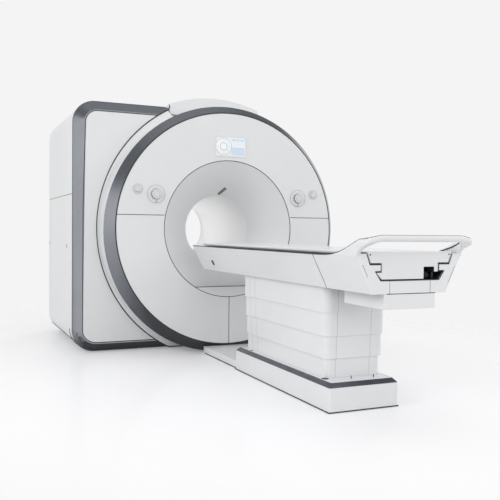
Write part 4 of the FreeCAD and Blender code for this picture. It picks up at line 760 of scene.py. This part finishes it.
def widen_ring(work):
    """Draws the outer edge of the ring, and the drum's edge behind it, out at the lower left."""
    for vert in work.verts:
        x, z = vert.co.x, vert.co.z - BORE_Z
        radius = hypot(x, z)
        if radius < DRUM_R - 0.0015 or vert.co.y > RING_REAR_Y:
            continue
        wide = radius + RING_DRAW * ring_draw(degrees(atan2(z, x)))
        if z < 0.0:
            wide = min(wide, max(radius, (BORE_Z - RING_FLOOR) * radius / -z))
        vert.co.x, vert.co.z = x * wide / radius, BORE_Z + z * wide / radius


def lengthen_column(work):
    """Moves a shell's near end out."""
    for vert in work.verts:
        if vert.co.y < COLUMN_NEAR_Y:
            vert.co.y -= COLUMN_REACH


def widen_column(work):
    """Moves a shell's near end and its right side out."""
    lengthen_column(work)
    for vert in work.verts:
        if vert.co.x > COLUMN_JOINT_X:
            vert.co.x = COLUMN_JOINT_X + COLUMN_WIDE * (vert.co.x - COLUMN_JOINT_X)


# ---- covers with rounded edges ----
RESHAPED = {"column_shell_1": widen_column, "column_shell_2": widen_column,
            "column_shell_3": widen_column, "column_shell_4": lengthen_column,
            "housing_band": narrow_band, "housing_panels": narrow_band,
            "front_accent_ring": widen_ring, "drum_cover": widen_ring,
            "foot_cover": without_loop}
EDGE_WIDTH = {  # nodes by how far their edges are rounded, in metres
    0.001: "laser_window base_top underside_pan table_channel drive_motor idler_bearing",
    0.0012: "display_screen control_bezels",
    0.0015: "base_plate base_edge_trim column_shell_1 column_shell_2 column_shell_3 "
            "column_shell_4",
    0.002: "display_bezel bore_liner head_end_cap accessory_hook table_frame",
    0.0025: "end_access_panel",
    0.003: "front_cover_upper front_cover_lower_left front_cover_lower_right drum_cover "
           "front_funnel housing_panels housing_cover_upper housing_cover_lower rear_funnel "
           "magnet_feet side_cover_left side_cover_right foot_cover",
    0.004: "front_accent_ring funnel_sill base_plinth tabletop_board tabletop_carriage",
    0.005: "rear_cover",
    0.006: "housing_band bore_bridge connector_duct lower_box",
    0.012: "turret_cover",
}
for width, nodes in EDGE_WIDTH.items():
    for node in nodes.split():
        soften(node, width, RESHAPED.get(node))
grab_loop()

# ---- flare between the drum and the housing's front ----
FLARE_R = 1.2
FLARE_X = 0.12  # its outer arc's middle, right of the bore axis
FLARE_Y = HOUSE_Y - 0.002
FLARE_FRONT_Y = -0.655
FLARE_FROM, FLARE_TO = 113.0, 262.0
FLARE_LOW_Z = 0.012
FLARE_STEPS = 150
FLARE_CURVE = 8
FLARE_SAG = 0.15  # how far out the curve's middle handle lies
FLARE_SEAT = 0.004  # how far the flare reaches in under the drum


def flare_reach(angle):
    """Distance of the flare's outer edge from the bore axis at an angle in degrees."""
    turn = radians(angle)
    reach = (FLARE_X * cos(turn)
             + sqrt(FLARE_R ** 2 - (FLARE_X * sin(turn)) ** 2))
    if sin(turn) < 0.0:
        reach = min(reach, (BORE_Z - FLARE_LOW_Z) / -sin(turn))
    return max(reach, DRUM_R + 0.003)


def bent(t, start, middle, end):
    """A value on a curve from start to end, drawn towards middle."""
    return start * (1 - t) ** 2 + 2 * middle * t * (1 - t) + end * t * t


def flare():
    """Hollow round that leads from the drum to the housing's front, left of the bore."""
    work = bmesh.new()
    rows = []
    inner = DRUM_R + 0.0002
    for k in range(FLARE_STEPS + 1):
        angle = FLARE_FROM + (FLARE_TO - FLARE_FROM) * k / FLARE_STEPS
        reach = flare_reach(angle)
        profile = []
        for i in range(FLARE_CURVE + 1):
            t = i / FLARE_CURVE
            profile.append((bent(t, inner, inner + FLARE_SAG * (reach - inner), reach),
                            bent(t, FLARE_FRONT_Y, FLARE_Y - 0.01, FLARE_Y)))
        profile += [(reach, BAND_Y), (inner - FLARE_SEAT, BAND_Y),
                    (inner - FLARE_SEAT, FLARE_FRONT_Y + 0.002)]
        ring = []
        for radius, y in profile:
            x, z = on_circle(angle, radius)
            ring.append(work.verts.new((x, y, z)))
        rows.append(ring)
    skin(work, rows)
    put("drum_flare", work, "scanner", SLOT_OF["drum_cover"], crease=35.0)


flare()

# ---- joints between the covers ----
SUNK = 0.0018  # how deep a bead's axis lies under a cover's face
RING_SUNK = 0.003
JOINT_LOWEST = 0.0065  # keeps the bead off the floor where the drum is nearest to it
LEFT_JOINT_TO = 255  # degrees at which the drum's left joint ends
RIGHT_JOINT_FROM, RIGHT_JOINT_TO = 262.0, 332.0
TURRET_JOINT_X = -TURRET_HALF_W - 0.0015
TURRET_JOINT_ENDS = ((-0.001, 0.0), (0.01, 0.018))  # past the turret's front and the roof
FACE_JOINT = (MOUTH_R + 0.003, FACE_R - 0.0065)
SILL_LINE_Z = SILL_Z - 0.0004
SEAM_START_Y = BAND_Y + 0.004
BAND_TOP_X, BAND_FOOT_X = -0.52, -0.56  # ends of the line round the panel
SIDE_TOP_X, SIDE_FOOT_X = -0.46, -0.7  # and of the line at the band's rear edge
CORNER_STEPS, SIDE_STEPS = 12, 12
FOOT_CURVE_Y = -0.372
FOOT_CURVE = range(181, 243, 3)
FOOT_LINE_ANGLE = 213.0
FOOT_SUNK = 0.0005

bead("mouth_joint", circle(MOUTH_R, FACE_Y + SUNK), closed=True)
bead("ring_joint", circle(FACE_R, FACE_Y + RING_SUNK), closed=True)
bead("drum_joint", at_y(FLARE_Y + 0.001, [on_circle(a, flare_reach(a)) for a in
                                           range(int(FLARE_FROM), LEFT_JOINT_TO + 1)]))
bead("drum_joint_right",
     [(x, y, max(z, JOINT_LOWEST)) for x, y, z in
      circle(DRUM_R + 0.003, HOUSE_Y + 0.0035, RIGHT_JOINT_FROM, RIGHT_JOINT_TO)])


def turret_joint():
    """Line from the drum along the flare's upper end to the turret cover."""
    points = []
    for i in range(6):
        t = i / 5
        x, z = on_circle(FLARE_FROM, DRUM_R + (flare_reach(FLARE_FROM) - DRUM_R) * t ** 2)
        points.append((x, FLARE_FRONT_Y + (FLARE_Y - FLARE_FRONT_Y) * (1 - (1 - t) ** 2), z))
    bead("turret_joint", points + [(TURRET_JOINT_X, TURRET_FRONT_Y + back, HOUSE_TOP_Z + rise)
                                   for back, rise in TURRET_JOINT_ENDS])


turret_joint()
for side, hand in HANDS:
    bead(f"face_joint_{hand}", at_y(FACE_Y + SUNK, [(side * x, FACE_SEAM_Z) for x in FACE_JOINT]))
bead("face_joint_below", at_y(FACE_Y + SUNK, ((0.0, FACE_FOOT_Z), (0.0, BORE_Z - MOUTH_R))))
bead("sill_joint", at_y(FACE_Y + SUNK, ((-SILL_HALF_W, SILL_LINE_Z), (SILL_HALF_W, SILL_LINE_Z))))
right_reach = sqrt(HOUSE_RIGHT ** 2 - (SIDE_SEAM_Z - BORE_Z) ** 2)
for x, hand in ((SUNK - HOUSE_LEFT, "left"), (right_reach - SUNK, "right")):
    bead(f"side_joint_{hand}", [(x, y, SIDE_SEAM_Z) for y in (SEAM_START_Y, HOUSE_REAR_SEAM_Y)])


def edge_path(left, z0, z1, corner, x_top, x_foot):
    """Points (x, z) along a housing outline: top run, left side and foot run, round corners."""
    turns = [90.0 * i / CORNER_STEPS for i in range(CORNER_STEPS + 1)]
    points = [(x_top, z1)]
    points += [on_circle(90.0 + turn, corner, corner - left, z1 - corner) for turn in turns]
    step = (z1 - z0 - 2 * corner) / SIDE_STEPS
    points += [(-left, z1 - corner - step * i) for i in range(1, SIDE_STEPS)]
    points += [on_circle(180.0 + turn, corner, corner - left, z0 + corner) for turn in turns]
    return points + [(x_foot, z0)]


panel_path = edge_path(PANEL_LEFT - BAND_WALL, PANEL_Z0 + BAND_WALL, PANEL_Z1 - BAND_WALL,
                       PANEL_CORNER - BAND_WALL, BAND_TOP_X, BAND_FOOT_X)
bead("band_joint_front", at_y(HOUSE_Y + 0.0014, [band_shift(x, z) for x, z in panel_path]))
side_path = edge_path(HOUSE_LEFT + 0.0002, HOUSE_Z0, HOUSE_TOP_Z + 0.0002, HOUSE_CORNER,
                      SIDE_TOP_X, SIDE_FOOT_X)
bead("band_joint_side", at_y(BAND_Y + 0.0006, side_path), "trim_dark")


def on_foot_corner(angle):
    """Point (x, z) just under the surface of the housing's round lower left corner."""
    return on_circle(angle, HOUSE_CORNER - FOOT_SUNK, HOUSE_CORNER - HOUSE_LEFT,
                     HOUSE_Z0 + HOUSE_CORNER)


bead("side_foot_curve", at_y(FOOT_CURVE_Y, [on_foot_corner(angle) for angle in FOOT_CURVE]))
# painted shadow: a dark line along the round lower left corner, for the shade where the housing
# meets the floor
foot_x, foot_z = on_foot_corner(FOOT_LINE_ANGLE)
bead("side_foot_line", [(foot_x, y, foot_z) for y in (SEAM_START_Y, 0.0, 0.5, 0.872)])

CATCHES = ((0.851, 0.918), (-0.207, 0.911))  # (y, z) on the removable left side cover
CATCH = dict(half_w=0.007, half_h=0.02, corner=0.0069)
CATCH_SINK, CATCH_DEPTH = 0.0012, 0.003
for i, (y, z) in enumerate(CATCHES):
    work = bmesh.new()
    ring = [work.verts.new((-HOUSE_LEFT - CATCH_SINK, y + a, z + b))
            for a, b in oblong(**CATCH)]
    work.faces.new(ring)
    out = bmesh.ops.extrude_face_region(work, geom=work.faces[:])
    for vert in (part for part in out["geom"] if isinstance(part, bmesh.types.BMVert)):
        vert.co.x += CATCH_DEPTH
    put(f"side_catch_{i}", work, "scanner", "trim_dark", "gasket_and_shade_black")

# ---- controls on the front ----
FLUTES, FLUTE_DEPTH = 24, 0.028
GRIP = ((0.0405, -0.947), (0.0424, -0.9478), (0.0427, -0.95), (0.0427, -0.959),
        (0.042, -0.9605), (0.0405, -0.9612))  # (radius, y)
LENS = ((0.0, -0.9478), (0.006, -0.9476), (0.0098, -0.9468), (0.0112, -0.9455),
        (0.0112, -0.944))
LENS_BELOW = 0.061  # from a dial's axis down to its lens


def fluted(angle):
    """Share of a dial grip's radius that its flutes leave at an angle."""
    return 1.0 - FLUTE_DEPTH * max(0.0, cos(FLUTES * angle)) ** 2


for side, hand in HANDS:
    dial, stop = (side * DIAL[0], DIAL[1]), (side * STOP[0], STOP[1])
    body = f"dial_{hand}"
    lathe(f"dial_grip_{hand}", GRIP, dial, "knob_plastic", "grip", body, 192, 40.0, fluted)
    hoop(f"dial_cap_line_{hand}", dial, "knob_plastic", "hairline", body)
    hoop(f"dial_surround_line_{hand}", dial, "bezel_grey", "hairline")
    lathe(f"dial_lens_{hand}", LENS, (dial[0], dial[1] - LENS_BELOW), "knob_plastic", "lens")
    hoop(f"stop_surround_line_{hand}", stop, "bezel_grey", "hairline")
    hoop(f"stop_gap_line_{hand}", stop, "bezel_grey", "gasket_and_shade_black")

# ---- display: a round selector, a field and three keys, without any lettering ----
SELECTOR = (-0.064, 1.79)
SELECTOR_PROUD, SELECTOR_EDGE = 0.0004, 0.0007
TICKS, TICK_R = 24, 0.054
TICK_HALF, LONG_TICK_HALF, TICK_HALF_W = 0.003, 0.006, 0.0009
FIELD = dict(half_w=0.062, half_h=0.034, corner=0.006, x=0.069, z=1.752)
KEY = dict(half_w=0.016, half_h=0.009, corner=0.003, z=1.851)
KEYS, KEY_X, KEY_PITCH = 3, 0.03, 0.04
hoop("display_dial_edge", SELECTOR, "screen_glass", "display_line")
lathe("display_dial_face",
      [(0.0, GLASS_Y - SELECTOR_PROUD), (SELECTOR_R - SELECTOR_EDGE, GLASS_Y - SELECTOR_PROUD),
       (SELECTOR_R, GLASS_Y)], SELECTOR, "screen_glass", "display_light")
hoop("display_dial_hub", SELECTOR, "screen_glass", "display_line")
for i in range(TICKS):
    angle = 360.0 * i / TICKS
    turn = radians(angle)
    cx, cz = on_circle(angle, TICK_R, *SELECTOR)
    half = LONG_TICK_HALF if i % 6 == 0 else TICK_HALF
    tick = [(cx + u * cos(turn) - v * sin(turn),
             cz + u * sin(turn) + v * cos(turn))
            for u, v in ((half, TICK_HALF_W), (-half, TICK_HALF_W), (-half, -TICK_HALF_W),
                         (half, -TICK_HALF_W))]
    screen_tile(f"display_tick_{i:02d}", tick, GLASS_Y - 0.0003, 0.0004, "display_line", 0.0001)
tiles = {"field": oblong(**FIELD)}
tiles.update({f"key_{i}": oblong(x=KEY_X + KEY_PITCH * i, **KEY) for i in range(KEYS)})
for name, outline in tiles.items():
    screen_tile(f"display_{name}", outline, GLASS_Y + 0.0001, 0.0005, "display_blue", 0.0002)

# ---- laser window: a paler pane between the two dark edges ----
PANE_LENGTH, PANE_WIDTH = 0.86, 0.4  # shares of the window's
PANE_PROUD = 0.0012
WINDOW_LEAN = (0.3, -0.6, 0.7)  # a first guess at its long direction
LEAN_TURNS = 60


def window_pane():
    """A narrower copy of the window's solid, standing a little further into the funnel."""
    source = NODES["laser_window"].data
    co = [v.co.copy() for v in source.vertices]
    centre = sum(co, Vector()) / len(co)
    spread = Matrix([[sum((p - centre)[i] * (p - centre)[j] for p in co) for j in range(3)]
                     for i in range(3)])
    along = Vector(WINDOW_LEAN)
    for _ in range(LEAN_TURNS):
        along = (spread @ along).normalized()
    inward = Vector((0.0, 0.0, BORE_Z)) - centre
    inward.y = 0.0
    inward = inward - along * inward.dot(along)
    inward.normalize()
    across = along.cross(inward)
    mesh = source.copy()
    mesh.name = "laser_pane"
    for vert, p in zip(mesh.vertices, co):
        d = p - centre
        vert.co = (centre + along * d.dot(along) * PANE_LENGTH
                   + across * d.dot(across) * PANE_WIDTH + inward * (d.dot(inward) + PANE_PROUD))
    put("laser_pane", mesh, "scanner", "window_dark", "pane")


window_pane()

# ---- table ----
RIM_EDGE_POINT = 4  # the point of a rim section that lies on its upper outer edge
RIM_LINE_SINK = 0.0012
RIM_LINE_Y = (HEAD_END_Y - 0.008, -2.0, -3.02)  # its straight part
RIM_LINE_RISE = (-3.1, BODY_TOP_Z - 0.001)  # and where it starts to rise (y, z)
SWEEP_LINE_SINK = 0.0006
RIM_LINE_END_Y = -3.588  # the dark line ends here,
LOOP_LINE_FROM_Y = -3.56  # and a faint one goes round the loop from here
# painted shadow: a dark line on each rim's inner face where it sweeps up to the loop
INNER_LINE = ((-3.2, 0.9345), (-3.26, 0.94), (-3.319, 0.949), (-3.363, 0.959), (-3.406, 0.97),
              (-3.436, 0.978), (-3.464, 0.988), (-3.485, 0.997), (-3.504, 1.008))  # (y, z)
INNER_TURN = ((15, 1.0115), (24, 1.0205), (32, 1.029))  # (angle, z)
INNER_LINE_SINK = 0.0004
SEAM_Z = (0.733, 0.8, 0.87, 0.931)
SIDE_LEAN = (TOP_HALF_W - BOT_HALF_W) / (BODY_TOP_Z - BODY_BOT_Z)
END_PANEL_HALF_W = 0.1326
END_PANEL_Z = (0.733, 0.7995)
END_LINE_Y = FOOT_END_Y + 0.0008
GROOVES = (("left", ((-0.305, 0.888), (-0.273, 0.825))),
           ("right", ((0.2985, 0.874), (0.2525, 0.782))))  # (x, z)
SLOT_LINES = (  # name, y and points (x, z)
    ("edge", FOOT_END_Y + 0.0006,
     ((0.28, 0.944), (0.26, 0.8896), (0.1896, 0.8896), (0.1896, 0.8514))),
    ("ledge", END_LINE_Y, ((0.259, 0.8886), (0.19, 0.8886))),
    ("foot", END_LINE_Y, ((0.1905, 0.8518), (0.2256, 0.8518), (0.19, 0.803), (0.0, 0.803))))
SCREW = ((0.0, -0.0003), (0.0012, -0.0003), (0.0016, -0.0011), (0.004, -0.0009),
         (0.0044, 0.0004))  # (radius, y)
SCREW_X, SCREW_Z = 0.2575, 0.9405
BOX_X = (-0.15, 0.166)  # ends of the lower box's joint
rim_edge = [loop_section(outer, inner)[RIM_EDGE_POINT] for outer, inner in loop_stations()]
rim_edge = [(x, y, z - SWEEP_LINE_SINK) for x, y, z in rim_edge]
for side, hand in HANDS:
    edge = side * (TOP_HALF_W - RIM_LINE_SINK)
    line = [(edge, y, BODY_TOP_Z - RIM_LINE_SINK) for y in RIM_LINE_Y]
    line.append((edge, *RIM_LINE_RISE))
    line += [(side * x, y, z) for x, y, z in rim_edge if y > RIM_LINE_END_Y]
    bead(f"rim_line_{hand}", line, body="table", taper=0.85, tip=0.45)
    inner = [(side * (TOP_HALF_W - RIM_W - INNER_LINE_SINK), y, z) for y, z in INNER_LINE]
    for angle, z in INNER_TURN:
        x, y = on_circle(-angle, LOOP_INNER_R - INNER_LINE_SINK, TURN_X, TURN_Y)
        inner.append((side * x, y, z))
    bead(f"rim_inner_line_{hand}", inner, body="table")
    seam = [(side * (BOT_HALF_W - RIM_LINE_SINK + SIDE_LEAN * (z - BODY_BOT_Z)), z)
            for z in SEAM_Z]
    bead(f"side_cover_joint_{hand}", at_y(END_SEAM_Y + 0.0004, seam), body="table")
    bead(f"end_panel_joint_{hand}", at_y(FOOT_END_Y + 0.001, [(side * END_PANEL_HALF_W, z)
                                                               for z in END_PANEL_Z]),
         "hairline", "table")
loop_edge = [point for point in rim_edge if point[1] < LOOP_LINE_FROM_Y]
bead("loop_line", loop_edge + [(-x, y, z) for x, y, z in reversed(loop_edge[:-1])],
     "hairline", "table", "table_white")
for hand, groove in GROOVES:
    bead(f"end_groove_{hand}", at_y(END_LINE_Y, groove), "hairline", "table")
for side, hand in HANDS:
    for name, y, points in SLOT_LINES:
        bead(f"slot_{name}_{hand}", [(side * x, y, z) for x, z in points], body="table")
    lathe(f"carriage_screw_{hand}", [(radius, FOOT_END_Y + y) for radius, y in SCREW],
          (side * SCREW_X, SCREW_Z), "catch_black", body="tabletop")

NOTCH_LEFT, NOTCH_RIGHT, NOTCH_FAR = 0.0893, 0.1567, 0.207
NOTCH_FOOT, NOTCH_STEP, NOTCH_TOP = 0.8095, 0.8457, 0.8727
NOTCH_DEPTH = 0.149
SHADE_SHEET = 0.0008


def notch_shade_sheet():
    """Dark sheet on the walls of the notch in the carriage, as painted shade of the recess."""
    walls = [(NOTCH_LEFT, NOTCH_FOOT), (NOTCH_LEFT, NOTCH_TOP), (NOTCH_RIGHT, NOTCH_TOP),
             (NOTCH_RIGHT, NOTCH_STEP), (NOTCH_FAR, NOTCH_STEP)]
    left, right = NOTCH_LEFT + SHADE_SHEET, NOTCH_RIGHT - SHADE_SHEET
    inner = [(left, NOTCH_FOOT), (left, NOTCH_TOP - SHADE_SHEET), (right, NOTCH_TOP - SHADE_SHEET),
             (right, NOTCH_STEP - SHADE_SHEET), (NOTCH_FAR, NOTCH_STEP - SHADE_SHEET)]
    work = bmesh.new()
    rows = [[work.verts.new(point) for point in at_y(y, walls + inner[::-1])]
            for y in (FOOT_END_Y + 0.0006, FOOT_END_Y + NOTCH_DEPTH)]
    skin(work, rows, caps=False)
    for row in rows:
        for i in range(len(walls) - 1):
            work.faces.new((row[i], row[i + 1], row[-2 - i], row[-1 - i]))
    put("notch_shade_sheet", work, "tabletop", "catch_black", "gasket_and_shade_black")


notch_shade_sheet()

# ---- column and base ----
SHELLS = ((1, "table", 0.571, 0.7305), (2, "shell_2", 0.428, 0.57), (3, "shell_3", 0.29, 0.426),
          (4, "scanner", 0.1745, 0.288))  # step, body, foot and top of its lines
SHELL_STEP = 0.009  # each shell stands this far inside the one below
SHELL_NEAR_Y, SHELL_LEFT_X = -2.899, -0.207
SHELL_SUNK = 0.0013
SHELL_LINES_X = ((-0.114, "left"), (0.129, "right"))
SHELL_LINES_Y = (-1.936, -1.847)
PINS = ((-0.035, -2.973), (0.117, -2.986))
PIN_ENDS = (-0.0005, 0.0175)  # from the base's top
PORTS = ((-0.186, -2.921, -35.0, 0.024, 0.0215),
         (-0.1985, -1.87, 90.0, 0.019, 0.007))  # x, y, turn, half length, half width
PORT_H, PORT_TAPER = 0.0016, 0.92
FLOOR_SHADOW_LINE_Z = 0.004
DUCT_HALF_W = 0.2254
for step, body, z0, z1 in SHELLS:
    inset = SHELL_STEP * (step - 1)
    near = SHELL_NEAR_Y - COLUMN_REACH + inset + SHELL_SUNK
    left = SHELL_LEFT_X + inset + SHELL_SUNK
    lines = [(x, near, f"joint_{hand}") for x, hand in SHELL_LINES_X]
    lines += [(left, y, f"rear_joint_{i}") for i, y in enumerate(SHELL_LINES_Y)]
    for x, y, name in lines:
        bead(f"shell_{step}_{name}", [(x, y, z0), (x, y, z1)], "hairline", body, "table_white")
for i, (x, y) in enumerate(PINS):
    bead(f"base_pin_{i}", [(x, y, BASE_TOP_Z + end) for end in PIN_ENDS], slot="catch_black")
for i, (x, y, turn, half_w, half_h) in enumerate(PORTS):
    work = bmesh.new()
    c, s = cos(radians(turn)), sin(radians(turn))
    low = [work.verts.new((x + a * c - b * s, y + a * s + b * c, BASE_TOP_Z))
           for a, b in oblong(half_w, half_h, half_h - 0.0001)]
    high = [work.verts.new((x + PORT_TAPER * (v.co.x - x), y + PORT_TAPER * (v.co.y - y),
                            BASE_TOP_Z + PORT_H)) for v in low]
    skin(work, (low, high))
    put(f"base_port_{i}", work, "scanner", "catch_black", "gasket_and_shade_black")
# painted shadow: dark lines at the floor along the base and the duct stand for their contact
# shadow
bead("base_floor_line",
     [(x, y, FLOOR_SHADOW_LINE_Z) for x, y in ((-BASE_HALF_W, BASE_HEAD_Y), (-BASE_HALF_W, BASE_FOOT_Y),
                                        (BASE_HALF_W, BASE_FOOT_Y), (BASE_HALF_W, BASE_HEAD_Y))])
for side, hand in HANDS:
    bead(f"duct_floor_line_{hand}", [(side * DUCT_HALF_W, y, FLOOR_SHADOW_LINE_Z)
                                     for y in (BASE_HEAD_Y + 0.004, FACE_Y - 0.01)])
bead("end_box_joint", at_y(FOOT_END_Y + 0.0006, [(x, BODY_BOT_Z + 0.0002) for x in BOX_X]),
     body="table")

# ---- studio ----
CAMERA_AT = (-2.2877, -6.4906, 1.0537)
CAMERA_YAW, CAMERA_PITCH, CAMERA_ROLL = 24.107, -1.5212, 0.5728
FOCAL_PX, PICTURE_PX = 686.71, 500.0
SENSOR = 36.0
BACKDROP = (0.905, 0.905, 0.905)
CEILING = (0.16, 0.166, 0.178)
CEILING_FROM, CEILING_TO = 0.33, 0.52  # heights of a direction where it starts and is full
ZENITH = (0.34, 0.345, 0.355)
ZENITH_FROM, ZENITH_TO = 0.74, 0.95  # and where it turns paler again, overhead
SKY_FILL = (0.7, 0.7, 0.707)
FLOOR_R = 16.0
FLOOR_LOOK = {"Base Color": (0.81, 0.81, 0.815, 1.0), "Roughness": 0.5,
              "Specular IOR Level": 0.1, "Coat Weight": 0.25, "Coat Roughness": 0.1,
              "Coat IOR": 1.25}
FLOOR_OVAL = {"Location": (0.0, 0.4, 0.0), "Scale": (0.62, 0.44, 1.0)}
FADE_FROM, FADE_TO = 0.95, 2.3  # where the floor fades, in lengths of the oval
FLOOR_LIFT = 0.16
LAMPS = (  # name, place, target, size along X and Y, watts
    ("key", (-7.6, -4.2, 4.4), (0.0, -1.0, 0.8), 4.5, 4.5, 192.0),
    ("front", (-2.0, -9.0, 4.2), (0.0, -1.0, 0.9), 4.0, 4.0, 78.0),
    ("fill", (5.5, -7.0, 3.6), (0.0, -1.5, 1.0), 4.0, 4.0, 76.0),
    ("top", (0.0, -1.5, 6.5), (0.0, -1.2, 0.0), 5.0, 5.0, 64.0),
    ("rim", (4.0, 5.5, 4.0), (0.0, 0.0, 1.2), 4.0, 4.0, 80.0),
    ("bore_light", (0.0, 0.1, 1.365), (0.0, 0.1, 0.9), 0.3, 0.9, 2.4),
    ("tunnel_light", (0.0, 0.6, 1.15), (0.0, -0.2, 1.077), 0.36, 0.36, 0.35),
)


def camera():
    """The photograph's camera."""
    turn = (Matrix.Rotation(radians(-CAMERA_YAW), 4, "Z")
            @ Matrix.Rotation(radians(90.0 + CAMERA_PITCH), 4, "X")
            @ Matrix.Rotation(radians(CAMERA_ROLL), 4, "Z"))
    data = bpy.data.cameras.new("camera")
    data.sensor_width = SENSOR
    data.lens = FOCAL_PX / PICTURE_PX * SENSOR
    data.clip_end = 200.0
    obj = placed("camera", data)
    obj.matrix_world = Matrix.Translation(CAMERA_AT) @ turn
    bpy.context.scene.camera = obj


def lamp(name, place, target, size, size_y, power):
    """A rectangular lamp that no camera or glossy ray sees."""
    data = bpy.data.lights.new(name, "AREA")
    data.shape = "RECTANGLE"
    data.size = size
    data.size_y = size_y
    data.energy = power
    obj = placed(name, data)
    obj.visible_camera = False
    obj.visible_glossy = False
    aim = (Vector(target) - Vector(place)).to_track_quat("-Z", "Y")
    obj.matrix_world = Matrix.Translation(place) @ aim.to_matrix().to_4x4()


def world():
    """Pale backdrop and darker ceiling for the rays that show them, even fill for the rest."""
    sky = bpy.data.worlds.new("studio")
    bpy.context.scene.world = sky
    sky.use_nodes = True
    tree = sky.node_tree
    link = tree.links.new
    seen = tree.nodes["Background"]
    place = add(tree, "ShaderNodeTexCoord")
    split = add(tree, "ShaderNodeSeparateXYZ")
    link(place.outputs["Generated"], split.inputs["Vector"])
    height = split.outputs["Z"]
    ceiling = ranged(tree, height, CEILING_FROM, CEILING_TO, interpolation_type="SMOOTHSTEP")
    zenith = ranged(tree, height, ZENITH_FROM, ZENITH_TO, interpolation_type="SMOOTHSTEP")
    colour = blend(tree, zenith, blend(tree, ceiling, BACKDROP, CEILING), ZENITH)
    link(colour, seen.inputs["Color"])
    fill = add(tree, "ShaderNodeBackground", {"Color": (*SKY_FILL, 1.0)})
    both = mixed(tree, seen_rays(tree), fill.outputs["Background"], seen.outputs["Background"])
    link(both, tree.nodes["World Output"].inputs["Surface"])


def floor():
    """A wide pale floor that keeps the shadow and fades into the backdrop far away."""
    work = bmesh.new()
    bmesh.ops.create_circle(work, cap_ends=True, radius=FLOOR_R, segments=96)
    mesh = bpy.data.meshes.new("floor")
    work.to_mesh(mesh)
    work.free()
    obj = placed("floor", mesh)
    mat = bpy.data.materials.new("floor")
    mat.use_nodes = True
    tree = mat.node_tree
    link = tree.links.new
    shader = tree.nodes["Principled BSDF"]
    fill_in(shader, FLOOR_LOOK)
    place = add(tree, "ShaderNodeTexCoord")
    oval = add(tree, "ShaderNodeMapping", FLOOR_OVAL)
    link(place.outputs["Object"], oval.inputs["Vector"])
    length = add(tree, "ShaderNodeVectorMath", operation="LENGTH")
    link(oval.outputs["Vector"], length.inputs[0])
    fade = ranged(tree, length.outputs["Value"], FADE_FROM, FADE_TO,
                  interpolation_type="SMOOTHSTEP")
    # a faint own light, for the rays that show the floor only, lifts it to the backdrop's white
    own = add(tree, "ShaderNodeEmission")
    link(worked_out(tree, "MULTIPLY", seen_rays(tree), FLOOR_LIFT), own.inputs["Strength"])
    lit = add(tree, "ShaderNodeAddShader")
    link(shader.outputs["BSDF"], lit.inputs[0])
    link(own.outputs["Emission"], lit.inputs[1])
    clear = add(tree, "ShaderNodeBsdfTransparent")
    faded = mixed(tree, fade, lit.outputs["Shader"], clear.outputs["BSDF"])
    link(faded, tree.nodes["Material Output"].inputs["Surface"])
    mesh.materials.append(mat)
    obj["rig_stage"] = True


camera()
world()
floor()
for row in LAMPS:
    lamp(*row)
bpy.context.scene.view_settings.view_transform = "Standard"

low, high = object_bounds()
